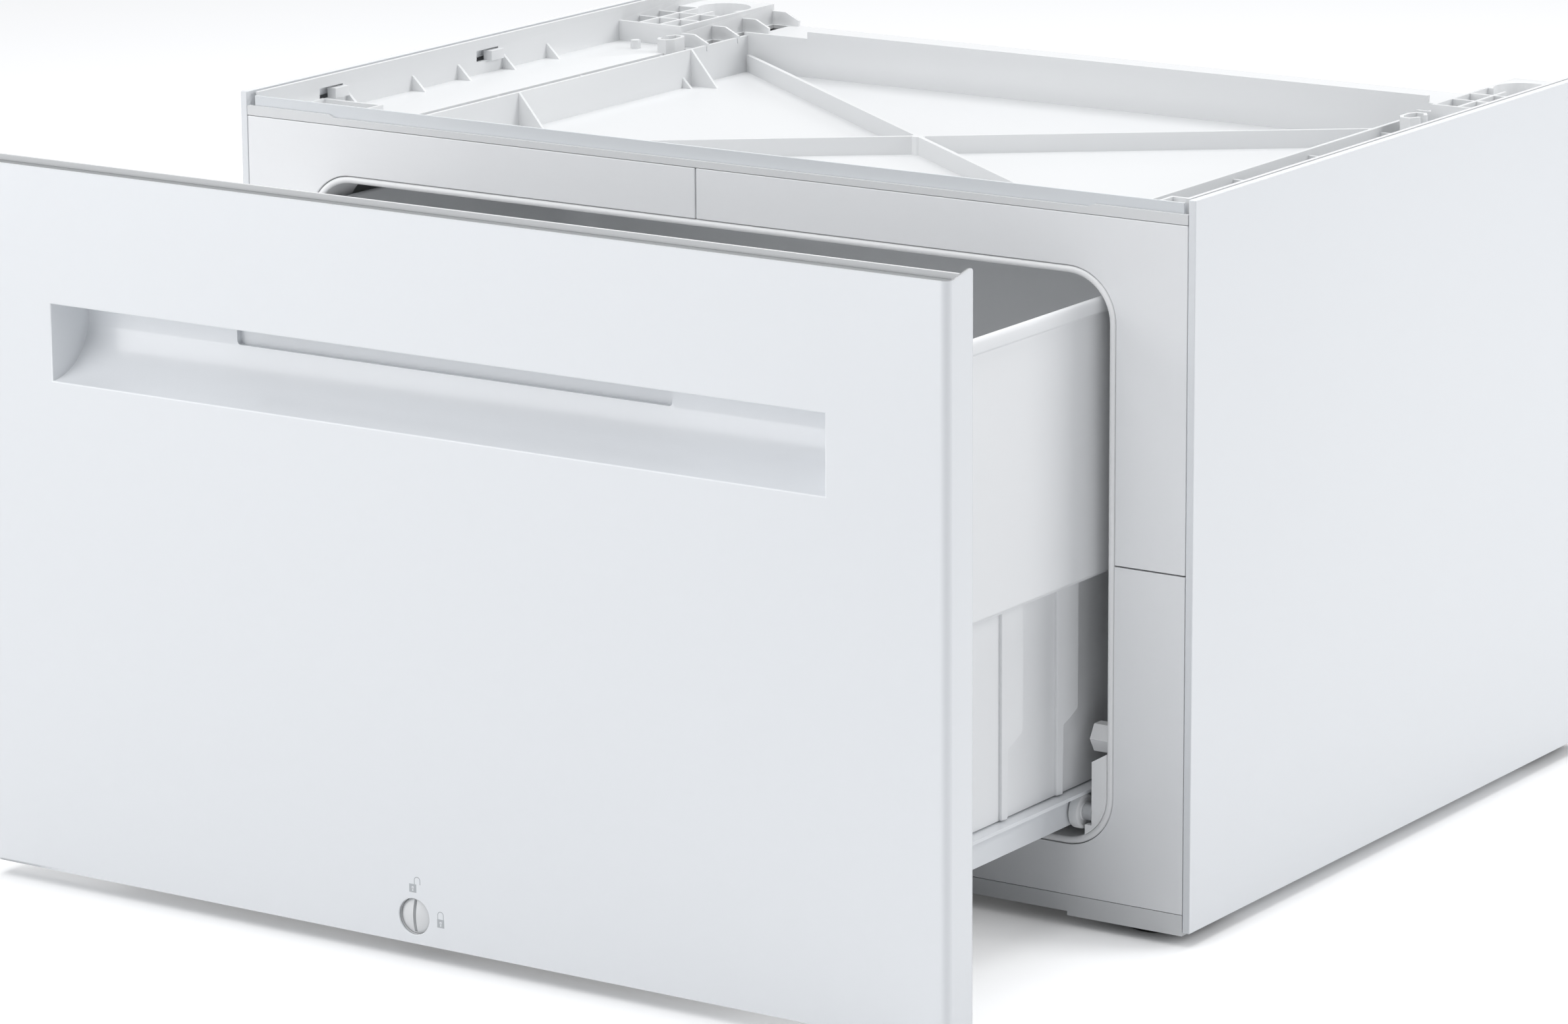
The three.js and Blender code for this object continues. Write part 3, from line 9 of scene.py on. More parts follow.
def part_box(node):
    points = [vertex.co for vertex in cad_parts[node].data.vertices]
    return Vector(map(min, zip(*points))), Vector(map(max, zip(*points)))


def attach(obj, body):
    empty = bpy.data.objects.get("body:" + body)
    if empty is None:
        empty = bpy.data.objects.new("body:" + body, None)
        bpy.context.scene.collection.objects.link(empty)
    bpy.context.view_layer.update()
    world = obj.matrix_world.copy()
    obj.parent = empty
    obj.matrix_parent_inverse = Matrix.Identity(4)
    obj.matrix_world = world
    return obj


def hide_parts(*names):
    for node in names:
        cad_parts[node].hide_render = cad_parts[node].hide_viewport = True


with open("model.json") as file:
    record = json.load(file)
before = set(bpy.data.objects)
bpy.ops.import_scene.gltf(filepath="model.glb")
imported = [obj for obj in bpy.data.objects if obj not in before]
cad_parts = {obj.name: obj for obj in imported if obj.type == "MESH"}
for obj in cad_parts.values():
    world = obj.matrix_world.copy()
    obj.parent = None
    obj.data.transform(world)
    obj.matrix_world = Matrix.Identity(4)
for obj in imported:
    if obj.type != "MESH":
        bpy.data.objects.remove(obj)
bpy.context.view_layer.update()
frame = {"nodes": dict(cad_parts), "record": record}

mm = 0.001
quarter = math.pi / 2
tiny = 1e-6  # points closer than this count as one place
scene = bpy.context.scene
slotOf = {part["node"]: part["material_slot"] for part in frame["record"]["subparts"]}
bodies = frame["record"]["behaviour"]["bodies"]
bodyOf = {node: body for body, members in bodies.items() for node in members}

# camera: the photograph's viewing angle, from the right and above
view = {"azimuth": 33.80, "elevation": 13.69, "roll": -0.365, "lens": 146.1,
        "place": (1.8468, -2.7896, 0.9816)}


def setCamera():
    data = bpy.data.cameras.new("camera")
    data.lens = view["lens"]
    data.sensor_width = 36
    data.sensor_fit = "HORIZONTAL"
    data.clip_end = 50
    cam = bpy.data.objects.new("camera", data)
    scene.collection.objects.link(cam)
    azimuth, elevation = math.radians(view["azimuth"]), math.radians(view["elevation"])
    back = Vector((math.sin(azimuth) * math.cos(elevation), -math.cos(azimuth) * math.cos(elevation),
                   math.sin(elevation)))
    turn = back.to_track_quat("Z", "Y").to_matrix().to_4x4()
    roll = Matrix.Rotation(math.radians(view["roll"]), 4, "Z")
    cam.matrix_world = Matrix.Translation(view["place"]) @ turn @ roll
    scene.camera = cam


setCamera()
scene.view_settings.view_transform = "Standard"
print("camera set")


def newGroup(name, inputs, outputs):
    group = bpy.data.node_groups.new(name, "ShaderNodeTree")
    for socketName, kind, value in inputs:
        socket = group.interface.new_socket(name=socketName, in_out="INPUT", socket_type=kind)
        if value is not None:
            socket.default_value = value
    for socketName, kind in outputs:
        group.interface.new_socket(name=socketName, in_out="OUTPUT", socket_type=kind)
    start = group.nodes.new("NodeGroupInput")
    end = group.nodes.new("NodeGroupOutput")
    return group, start, end


def toneDriftGroup():
    # slow change of tone and gloss over a large panel
    group, start, end = newGroup(
        "toneDrift",
        [("Vector", "NodeSocketVector", None), ("Light", "NodeSocketColor", (1, 1, 1, 1)),
         ("Deep", "NodeSocketColor", (0.8, 0.8, 0.8, 1)), ("Scale", "NodeSocketFloat", 3.0),
         ("Gloss", "NodeSocketFloat", 0.4), ("Spread", "NodeSocketFloat", 0.05)],
        [("Color", "NodeSocketColor"), ("Roughness", "NodeSocketFloat")])
    noise = group.nodes.new("ShaderNodeTexNoise")
    noise.inputs["Detail"].default_value = 3
    mix = group.nodes.new("ShaderNodeMix")
    mix.data_type = "RGBA"
    centre = group.nodes.new("ShaderNodeMath")
    centre.operation = "SUBTRACT"
    centre.inputs[1].default_value = 0.5
    spread = group.nodes.new("ShaderNodeMath")
    spread.operation = "MULTIPLY_ADD"
    link = group.links.new
    link(start.outputs["Vector"], noise.inputs["Vector"])
    link(start.outputs["Scale"], noise.inputs["Scale"])
    link(noise.outputs["Fac"], mix.inputs["Factor"])
    link(start.outputs["Light"], mix.inputs["A"])
    link(start.outputs["Deep"], mix.inputs["B"])
    link(noise.outputs["Fac"], centre.inputs[0])
    link(centre.outputs[0], spread.inputs[0])
    link(start.outputs["Spread"], spread.inputs[1])
    link(start.outputs["Gloss"], spread.inputs[2])
    link(mix.outputs["Result"], end.inputs["Color"])
    link(spread.outputs[0], end.inputs["Roughness"])
    return group


def grainGroup():
    # fine grain: the orange peel of paint or the spark texture of a mould
    group, start, end = newGroup(
        "grain",
        [("Vector", "NodeSocketVector", None), ("Fine", "NodeSocketFloat", 900.0),
         ("Coarse", "NodeSocketFloat", 160.0), ("Share", "NodeSocketFloat", 0.5)],
        [("Height", "NodeSocketFloat")])
    fine = group.nodes.new("ShaderNodeTexNoise")
    coarse = group.nodes.new("ShaderNodeTexNoise")
    coarse.inputs["Detail"].default_value = 1
    blend = group.nodes.new("ShaderNodeMix")
    link = group.links.new
    link(start.outputs["Vector"], fine.inputs["Vector"])
    link(start.outputs["Vector"], coarse.inputs["Vector"])
    link(start.outputs["Fine"], fine.inputs["Scale"])
    link(start.outputs["Coarse"], coarse.inputs["Scale"])
    link(start.outputs["Share"], blend.inputs["Factor"])
    link(fine.outputs["Fac"], blend.inputs["A"])
    link(coarse.outputs["Fac"], blend.inputs["B"])
    link(blend.outputs["Result"], end.inputs["Height"])
    return group


toneDrift = toneDriftGroup()
grain = grainGroup()

# finishes, with the colours in linear values
finishes = {
    "painted_white": {"light": (0.80, 0.82, 0.84), "deep": (0.77, 0.79, 0.815), "gloss": 0.24,
                      "spread": 0.05, "drift": 2.2, "fine": 1400, "coarse": 420, "share": 0.7,
                      "bump": 0.025, "coat": 0.35},
    # a lighter copy of the door's white paint: painted light on the frame plates, which lie in the door's
    # shade
    "frame_white": {"light": (0.87, 0.88, 0.89), "deep": (0.845, 0.855, 0.87), "gloss": 0.26,
                    "spread": 0.05, "drift": 2.2, "fine": 1400, "coarse": 420, "share": 0.7,
                    "bump": 0.025, "coat": 0.3},
    # a lighter copy of the moulded white: painted light on the opening's liner and the roller brackets,
    # which lie in the door's shade
    "liner_white": {"light": (0.90, 0.905, 0.91), "deep": (0.88, 0.885, 0.89), "gloss": 0.36,
                    "spread": 0.06, "drift": 5, "fine": 2200, "coarse": 500, "share": 0.4,
                    "bump": 0.03, "coat": 0},
    "moulded_white": {"light": (0.74, 0.75, 0.755), "deep": (0.70, 0.71, 0.72), "gloss": 0.42,
                      "spread": 0.08, "drift": 5, "fine": 2200, "coarse": 500, "share": 0.4,
                      "bump": 0.05, "coat": 0},
    "bin_plastic": {"light": (0.82, 0.83, 0.84), "deep": (0.79, 0.80, 0.81), "gloss": 0.38,
                    "spread": 0.08, "drift": 4, "fine": 2000, "coarse": 480, "share": 0.4,
                    "bump": 0.05, "coat": 0},
    "grey_core": {"light": (0.245, 0.255, 0.26), "deep": (0.235, 0.245, 0.25), "gloss": 0.6,
                  "spread": 0.1, "drift": 20, "fine": 1500, "coarse": 300, "share": 0.5,
                  "bump": 0.12, "coat": 0},
    "grey_steel": {"light": (0.71, 0.735, 0.755), "deep": (0.67, 0.695, 0.72), "gloss": 0.36,
                   "spread": 0.08, "drift": 6, "fine": 1600, "coarse": 300, "share": 0.5,
                   "bump": 0.03, "coat": 0.1},
    "zinc_steel": {"light": (0.58, 0.59, 0.60), "deep": (0.48, 0.49, 0.51), "gloss": 0.5,
                   "spread": 0.16, "drift": 60, "fine": 2500, "coarse": 220, "share": 0.6,
                   "bump": 0.06, "coat": 0, "metallic": 0.7},
    "roller_plastic": {"light": (0.80, 0.81, 0.815), "deep": (0.76, 0.77, 0.775), "gloss": 0.35,
                       "spread": 0.08, "drift": 60, "fine": 2400, "coarse": 700, "share": 0.4,
                       "bump": 0.04, "coat": 0},
    "dark_rubber": {"light": (0.022, 0.022, 0.024), "deep": (0.012, 0.012, 0.013), "gloss": 0.7,
                    "spread": 0.15, "drift": 40, "fine": 1800, "coarse": 500, "share": 0.5,
                    "bump": 0.2, "coat": 0},
    "icon_grey": {"light": (0.46, 0.48, 0.50), "deep": (0.42, 0.44, 0.46), "gloss": 0.45,
                  "spread": 0.05, "drift": 60, "fine": 2400, "coarse": 700, "share": 0.4,
                  "bump": 0.02, "coat": 0},
}


def makeMaterial(name, look):
    material = bpy.data.materials.new(name)
    material.use_nodes = True
    tree = material.node_tree
    shader = tree.nodes["Principled BSDF"]
    coords = tree.nodes.new("ShaderNodeTexCoord")
    drift = tree.nodes.new("ShaderNodeGroup")
    drift.node_tree = toneDrift
    drift.inputs["Light"].default_value = (*look["light"], 1)
    drift.inputs["Deep"].default_value = (*look["deep"], 1)
    drift.inputs["Scale"].default_value = look["drift"]
    drift.inputs["Gloss"].default_value = look["gloss"]
    drift.inputs["Spread"].default_value = look["spread"]
    texture = tree.nodes.new("ShaderNodeGroup")
    texture.node_tree = grain
    texture.inputs["Fine"].default_value = look["fine"]
    texture.inputs["Coarse"].default_value = look["coarse"]
    texture.inputs["Share"].default_value = look["share"]
    bump = tree.nodes.new("ShaderNodeBump")
    bump.inputs["Strength"].default_value = look["bump"]
    bump.inputs["Distance"].default_value = 0.2 * mm
    link = tree.links.new
    link(coords.outputs["Object"], drift.inputs["Vector"])
    link(coords.outputs["Object"], texture.inputs["Vector"])
    link(drift.outputs["Color"], shader.inputs["Base Color"])
    link(drift.outputs["Roughness"], shader.inputs["Roughness"])
    link(texture.outputs["Height"], bump.inputs["Height"])
    link(bump.outputs["Normal"], shader.inputs["Normal"])
    shader.inputs["Metallic"].default_value = look.get("metallic", 0)
    shader.inputs["Coat Weight"].default_value = look["coat"]
    shader.inputs["Coat Roughness"].default_value = 0.12
    return material


materials = {name: makeMaterial(name, look) for name, look in finishes.items()}
print("materials made:", len(materials))


def camelName(node, ending):
    first, *rest = node.split("_")
    return first + "".join(word.capitalize() for word in rest) + ending


def newPiece(name, bm, body, slotName, replaced=(), finish=None, sharpest=35):
    mesh = bpy.data.meshes.new(name)
    bm.to_mesh(mesh)
    bm.free()
    piece = bpy.data.objects.new(name, mesh)
    scene.collection.objects.link(piece)
    mesh.materials.append(materials[finish or slotName])
    mesh.shade_smooth()
    mesh.set_sharp_from_angle(angle=math.radians(sharpest))
    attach(piece, body)
    if replaced:
        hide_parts(*replaced)
    return piece


def addBevel(piece, width, segments=2, angle=30):
    bevel = piece.modifiers.new("edges", "BEVEL")
    bevel.width = width
    bevel.segments = segments
    bevel.limit_method = "ANGLE"
    bevel.angle_limit = math.radians(angle)
    bevel.harden_normals = True
    return bevel


def addWeighted(piece):
    weighted = piece.modifiers.new("normals", "WEIGHTED_NORMAL")
    weighted.keep_sharp = True
    weighted.weight = 100


def boxMiddle(node):
    low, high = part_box(node)
    return (low + high) / 2


def vertsOf(geometry):
    return [part for part in geometry if isinstance(part, bmesh.types.BMVert)]


def edgesOf(geometry):
    return [part for part in geometry if isinstance(part, bmesh.types.BMEdge)]


def facePlate(bm, low, high, y):
    # one face in the plane y, looking to the front
    width, height = high[0] - low[0], high[1] - low[1]
    place = Matrix.Translation(((low[0] + high[0]) / 2, y, (low[1] + high[1]) / 2))
    turn = Matrix.Rotation(quarter, 4, "X")
    size = Matrix.Diagonal((width, height, 1, 1))
    made = bmesh.ops.create_grid(bm, x_segments=1, y_segments=1, size=0.5, matrix=place @ turn @ size)
    return made["verts"][0].link_faces[0]


def boxAt(bm, low, high):
    size = Vector(high) - Vector(low)
    centre = (Vector(high) + Vector(low)) / 2
    place = Matrix.Translation(centre) @ Matrix.Diagonal((*size, 1))
    return bmesh.ops.create_cube(bm, size=1, matrix=place)["verts"]


def cutFaces(bm, faces, point, normal):
    edges = list({edge for face in faces for edge in face.edges})
    verts = list({vert for face in faces for vert in face.verts})
    bmesh.ops.bisect_plane(bm, geom=faces + edges + verts, dist=tiny, plane_co=point, plane_no=normal)


def cutAll(bm, point, normal):
    cutFaces(bm, bm.faces[:], point, normal)


def pushFace(bm, face):
    return bmesh.ops.extrude_discrete_faces(bm, faces=[face])["faces"][0]


# door front: skin and handle recess in one sheet
# the returns rise to a tip: (depth in mm, share of the rise)
door = {"edgeRadius": 4.5 * mm, "edgeSteps": 6, "wall": 1.4 * mm, "tipRise": 3.0 * mm,
        "returnSteps": ((7, 0.14), (18, 0.9), (19.2, 1), (20.6, 1), (21.6, 0.88), (22.2, 0.55)),
        "underReturn": 11 * mm}
recess = {"left": -247 * mm, "right": 229 * mm, "low": 273.7 * mm, "high": 314 * mm, "depth": 27 * mm,
          "belly": 20 * mm, "bellyRise": 2.3 * mm, "slotLow": 299.4 * mm, "slotLeft": -146.6 * mm,
          "slotRight": 122.6 * mm, "slotDepth": 3.2 * mm, "slotRound": 2 * mm, "slotSteps": 4,
          "pocketFront": 16 * mm, "pocketTop": 326 * mm, "cutLow": 10 * mm, "endDraft": 2.8 * mm,
          "steps": 16, "lip": 0.9 * mm, "lipSteps": 3}


def recessCurve(t):
    # depth and height of the curved floor, from the lower lip to the slot
    depth = 2 * t * (1 - t) * recess["belly"] + t * t * recess["depth"]
    rise = recess["slotLow"] - recess["low"]
    return depth, recess["low"] + 2 * t * (1 - t) * recess["bellyRise"] + t * t * rise


def pressRecess(bm, front):
    lip = recess["lip"]
    cutAll(bm, (recess["left"] - lip, 0, 0), (1, 0, 0))
    cutAll(bm, (recess["right"] + lip, 0, 0), (1, 0, 0))
    cutAll(bm, (0, 0, recess["low"] - lip), (0, 0, 1))
    cutAll(bm, (0, 0, recess["high"] + lip), (0, 0, 1))
    middle = Vector(((recess["left"] + recess["right"]) / 2, front, (recess["low"] + recess["high"]) / 2))
    face = min(bm.faces, key=lambda f: (f.calc_center_median() - middle).length)
    levels = []
    for step in range(1, recess["lipSteps"] + 1):
        angle = quarter * step / recess["lipSteps"]
        levels.append((lip * (1 - math.cos(angle)), recess["low"] - lip * (1 - math.sin(angle)),
                       lip * (1 - math.sin(angle))))
    for step in range(1, recess["steps"] + 1):
        depth, floor = recessCurve(step / recess["steps"])
        levels.append((depth, floor, -recess["endDraft"] * depth / recess["depth"]))
    for depth, floor, spread in levels:
        face = pushFace(bm, face)
        halfway = face.calc_center_median().z
        for vert in face.verts:
            vert.co.y = front + depth
            vert.co.x = recess["left"] - spread if vert.co.x < middle.x else recess["right"] + spread
            vert.co.z = floor if vert.co.z < halfway else recess["high"] + max(spread, 0)
    return front + recess["depth"]


def openSlot(bm, front, rear):
    # finger slot in the rear of the recess and the pocket above it
    for x in (recess["slotLeft"], recess["slotRight"]):
        near = [f for f in bm.faces if f.calc_center_median().y > front + 0.5 * recess["pocketFront"]
                and f.calc_center_median().z > recess["low"] + recess["cutLow"]]
        cutFaces(bm, near, (x, 0, 0), (1, 0, 0))
    roof = [f for f in bm.faces if all(abs(v.co.z - recess["high"]) < tiny for v in f.verts)]
    cutFaces(bm, roof, (0, front + recess["pocketFront"], 0), (0, 1, 0))
    inside = [f for f in bm.faces if recess["slotLeft"] < f.calc_center_median().x < recess["slotRight"]]
    slot = [f for f in inside if all(abs(v.co.y - rear) < tiny for v in f.verts)]
    back = pushFace(bm, slot[0])
    for vert in back.verts:
        vert.co.y += recess["slotDepth"]
    corners = [e for e in bm.edges if all(abs(v.co.z - recess["slotLow"]) < tiny for v in e.verts)
               and e.verts[0].co.x == e.verts[1].co.x and min(v.co.y for v in e.verts) > rear - tiny]
    bmesh.ops.bevel(bm, geom=corners, offset=recess["slotRound"], segments=recess["slotSteps"], profile=0.5,
                    affect="EDGES", material=-1)
    bm.normal_update()
    roof = [f for f in bm.faces if recess["slotLeft"] < f.calc_center_median().x < recess["slotRight"]
            and all(abs(v.co.z - recess["high"]) < tiny for v in f.verts)
            and f.calc_center_median().y > front + recess["pocketFront"]]
    for vert in vertsOf(bmesh.ops.extrude_face_region(bm, geom=roof)["geom"]):
        vert.co.z = recess["pocketTop"]
    bmesh.ops.delete(bm, geom=[f for f in roof if f.is_valid], context="FACES")


# the hole's edge is given as (grown radius, depth) in mm
hole = {"radius": 9.5 * mm, "patch": 12.6 * mm, "cuts": 7,
        "levels": ((0.5, 0), (0.2, 0.12), (0.05, 0.35), (0, 0.6), (0, 1.3))}


def openLockHole(bm, front):
    # a round hole with a soft edge where the lock knob sits
    knobPlace = boxMiddle("lock_knob")
    middle = Vector((knobPlace.x, front, knobPlace.z))
    patch = hole["patch"]

    def onPatch(part):
        return all(abs(v.co.x - middle.x) < patch + tiny and abs(v.co.z - middle.z) < patch + tiny
                   for v in part.verts)

    for side in (patch, -patch):
        cutAll(bm, (0, 0, middle.z + side), (0, 0, 1))
    for side in (-patch, patch):
        row = [f for f in bm.faces if abs(f.calc_center_median().z - middle.z) < patch]
        cutFaces(bm, row, (middle.x + side, 0, 0), (1, 0, 0))
    square = min(bm.faces, key=lambda f: (f.calc_center_median() - middle).length)
    bmesh.ops.subdivide_edges(bm, edges=square.edges[:], cuts=hole["cuts"], use_grid_fill=True)
    inner = [f for f in bm.faces if onPatch(f) and all(abs(v.co.y - front) < tiny for v in f.verts)]
    bmesh.ops.delete(bm, geom=inner, context="FACES")
    outline = [e for e in bm.edges if e.is_boundary and onPatch(e)]
    turned = Matrix.Translation(middle) @ Matrix.Rotation(quarter, 4, "X")
    ring = bmesh.ops.create_circle(bm, segments=4 * (hole["cuts"] + 1), matrix=turned,
                                   radius=hole["radius"] + hole["levels"][0][0] * mm)["verts"]
    rim = list({e for v in ring for e in v.link_edges})
    bmesh.ops.bridge_loops(bm, edges=outline + rim)
    for grow, depth in hole["levels"][1:]:
        grown = bmesh.ops.extrude_edge_only(bm, edges=rim)["geom"]
        for vert in vertsOf(grown):
            out = Vector((vert.co.x - middle.x, 0, vert.co.z - middle.z)).normalized()
            vert.co = middle + out * (hole["radius"] + grow * mm) + Vector((0, depth * mm, 0))
        rim = edgesOf(grown)


def makeDoorFront():
    low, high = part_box("door_skin")
    top = high.z - door["tipRise"]
    bm = bmesh.new()
    r = door["edgeRadius"]
    facePlate(bm, (low.x + r, low.z), (high.x - r, top), low.y)
    rear = pressRecess(bm, low.y)
    openSlot(bm, low.y, rear)
    openLockHole(bm, low.y)
    for side in (-1, 1):
        edgeX = side * (high.x - r)
        edges = [e for e in bm.edges if e.is_boundary and all(abs(v.co.x - edgeX) < tiny for v in e.verts)]
        made = bmesh.ops.spin(bm, geom=edges, cent=(edgeX, low.y + r, 0), axis=(0, 0, side), angle=quarter,
                              steps=door["edgeSteps"], use_merge=False, use_duplicate=False)
        rim = edgesOf(made["geom_last"])
        for depth, rise in door["returnSteps"]:
            grown = bmesh.ops.extrude_edge_only(bm, edges=rim)["geom"]
            for vert in vertsOf(grown):
                vert.co.y = low.y + depth * mm
                if vert.co.z > top - 1 * mm:
                    vert.co.z = top + rise * door["tipRise"]
            rim = edgesOf(grown)
    under = [e for e in bm.edges if e.is_boundary
             and all(abs(v.co.z - low.z) < tiny and v.co.y < low.y + 10 * tiny for v in e.verts)]
    for vert in vertsOf(bmesh.ops.extrude_edge_only(bm, edges=under)["geom"]):
        vert.co.y += door["underReturn"]
    bmesh.ops.remove_doubles(bm, verts=bm.verts, dist=tiny)
    bmesh.ops.recalc_face_normals(bm, faces=bm.faces)
    piece = newPiece("doorFront", bm, "drawer", "painted_white", ["door_skin", "handle_scoop"], sharpest=30)
    thick = piece.modifiers.new("wall", "SOLIDIFY")
    thick.thickness = door["wall"]
    thick.offset = -1
    addWeighted(piece)
    return piece


# lock knob: a domed disc with a coin slot
knob = {"face": 9.25 * mm, "dome": 1.7 * mm, "edge": 0.4 * mm, "thick": 6 * mm, "stem": 3.8 * mm,
        "steps": 8, "turns": 48, "slotWidth": 1.8 * mm, "slotDepth": 3.1 * mm, "slotReach": 8.5 * mm,
        "sharpest": 35}


def bareObject(name, bm):
    mesh = bpy.data.meshes.new(name)
    bm.to_mesh(mesh)
    bm.free()
    piece = bpy.data.objects.new(name, mesh)
    scene.collection.objects.link(piece)
    return piece


def carveBox(piece, low, high):
    # takes a box out of the piece
    cutter = bmesh.new()
    boxAt(cutter, low, high)
    tool = piece.modifiers.new("cut", "BOOLEAN")
    tool.operation = "DIFFERENCE"
    tool.solver = "EXACT"
    tool.object = bareObject("cutter", cutter)
    bpy.context.view_layer.update()
    shaped = bpy.data.meshes.new_from_object(piece.evaluated_get(bpy.context.evaluated_depsgraph_get()))
    bpy.data.objects.remove(tool.object)
    piece.modifiers.remove(tool)
    piece.data = shaped


def spinProfile(bm, points, centre, axis, steps):
    # points are (radius, distance along the axis)
    axis = Vector(axis)
    side = axis.orthogonal().normalized()
    verts = [bm.verts.new(Vector(centre) + side * r + axis * along) for r, along in points]
    edges = [bm.edges.new(pair) for pair in zip(verts, verts[1:])]
    bmesh.ops.spin(bm, geom=verts + edges, cent=centre, axis=axis, angle=2 * math.pi, steps=steps,
                   use_merge=True, use_duplicate=False)
    bmesh.ops.remove_doubles(bm, verts=bm.verts, dist=tiny)
    bmesh.ops.recalc_face_normals(bm, faces=bm.faces)


def makeKnob():
    low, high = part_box("lock_knob")
    x, y, z = boxMiddle("lock_knob").x, low.y, boxMiddle("lock_knob").z
    face = []
    for step in range(knob["steps"] + 1):
        share = step / knob["steps"]
        face.append(((knob["face"] - knob["edge"]) * share, knob["dome"] * share * share))
    length = high.y - low.y
    edge = [(knob["face"], knob["dome"] + knob["edge"]), (knob["face"], knob["thick"]),
            (knob["stem"], knob["thick"]), (knob["stem"], length), (0, length)]
    bm = bmesh.new()
    spinProfile(bm, face + edge, (x, y, z), (0, 1, 0), knob["turns"])
    piece = newPiece("coinKnob", bm, "lock", "moulded_white", ["lock_knob"])
    half, reach = knob["slotWidth"] / 2, knob["slotReach"]
    carveBox(piece, (x - half, y - 2 * mm, z - reach), (x + half, y + knob["slotDepth"], z + reach))
    piece.data.set_sharp_from_angle(angle=math.radians(knob["sharpest"]))
    return piece


# padlock signs beside the knob
sign = {"half": 2.2 * mm, "tall": 4.4 * mm, "bow": 1.75 * mm, "line": 0.22 * mm, "proud": 0.03 * mm,
        "sunk": 0.1 * mm, "leg": 2.2 * mm, "bowSteps": 14, "openShift": 1.62, "openGap": 0.1 * mm,
        "key": 0.75 * mm, "keyLeg": 0.38 * mm, "keyPlace": 0.42, "keyEnd": 0.84, "keyProud": 0.02 * mm,
        "keySunk": 0.05 * mm, "openPlace": (-0.4 * mm, 17.2 * mm), "shutPlace": (16.8 * mm, 1.2 * mm)}


def makePadlock(name, place, opened):
    # place: the middle of the body's top edge, from the knob's middle
    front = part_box("door_skin")[0].y
    face, back = front - sign["proud"], front + sign["sunk"]
    x, z = boxMiddle("lock_knob").x + place[0], boxMiddle("lock_knob").z + place[1]
    bm = bmesh.new()
    boxAt(bm, (x - sign["half"], face, z - sign["tall"]), (x + sign["half"], back, z))
    bowX = x + sign["openShift"] * sign["bow"] if opened else x
    bowZ = z + sign["leg"]
    line = sign["line"]
    ring = [bm.verts.new((bowX + sign["bow"] + dx, y, bowZ)) for dx, y in
            ((-line, face), (line, face), (line, back), (-line, back))]
    edges = [bm.edges.new((ring[i], ring[(i + 1) % 4])) for i in range(4)]
    bmesh.ops.spin(bm, geom=ring + edges, cent=(bowX, front, bowZ), axis=(0, -1, 0), angle=math.pi,
                   steps=sign["bowSteps"], use_merge=False, use_duplicate=False)
    for side in (1, -1):
        middle = bowX + side * sign["bow"]
        foot = z + sign["openGap"] if opened and side > 0 else z
        boxAt(bm, (middle - line, face, foot), (middle + line, back, bowZ))
    bmesh.ops.recalc_face_normals(bm, faces=bm.faces)
    newPiece(name, bm, "drawer", "grey_steel", finish="icon_grey")
    key = bmesh.new()
    keyZ = z - sign["keyPlace"] * sign["tall"]
    turned = Matrix.Translation((x, face, keyZ)) @ Matrix.Rotation(quarter, 4, "X")
    bmesh.ops.create_cone(key, cap_ends=True, segments=20, radius1=sign["key"], radius2=sign["key"],
                          depth=2 * sign["keyProud"], matrix=turned)
    boxAt(key, (x - sign["keyLeg"], face - sign["keyProud"], z - sign["keyEnd"] * sign["tall"]),
          (x + sign["keyLeg"], face + sign["keySunk"], keyZ))
    newPiece(name + "Key", key, "drawer", "painted_white")


# liner: a soft lip round the opening, with a notch for the cam of the lock
liner = {"start": 3.4 * mm, "gap": 0.05 * mm, "rise": 2.2 * mm, "width": 3.6 * mm, "crown": 1.4 * mm,
         "steps": 9, "notch": 15.3 * mm, "wall": 1.2 * mm}
opening = {"half": 254.2 * mm, "low": 44.5 * mm, "high": 346.2 * mm, "radius": 27.7 * mm, "steps": 12}


def openNotch(bm):
    lock, reach = boxMiddle("lock_knob"), liner["notch"]
    for point, normal in (((lock.x - reach, 0, 0), (1, 0, 0)), ((lock.x + reach, 0, 0), (1, 0, 0)),
                          ((0, 0, lock.z + reach), (0, 0, 1))):
        skirt = [f for f in bm.faces if all(v.co.z < opening["low"] + tiny for v in f.verts)]
        cutFaces(bm, skirt, point, normal)
    inside = [f for f in bm.faces if abs(f.calc_center_median().x - lock.x) < reach
              and f.calc_center_median().z < lock.z + reach]
    bmesh.ops.delete(bm, geom=inside, context="FACES")


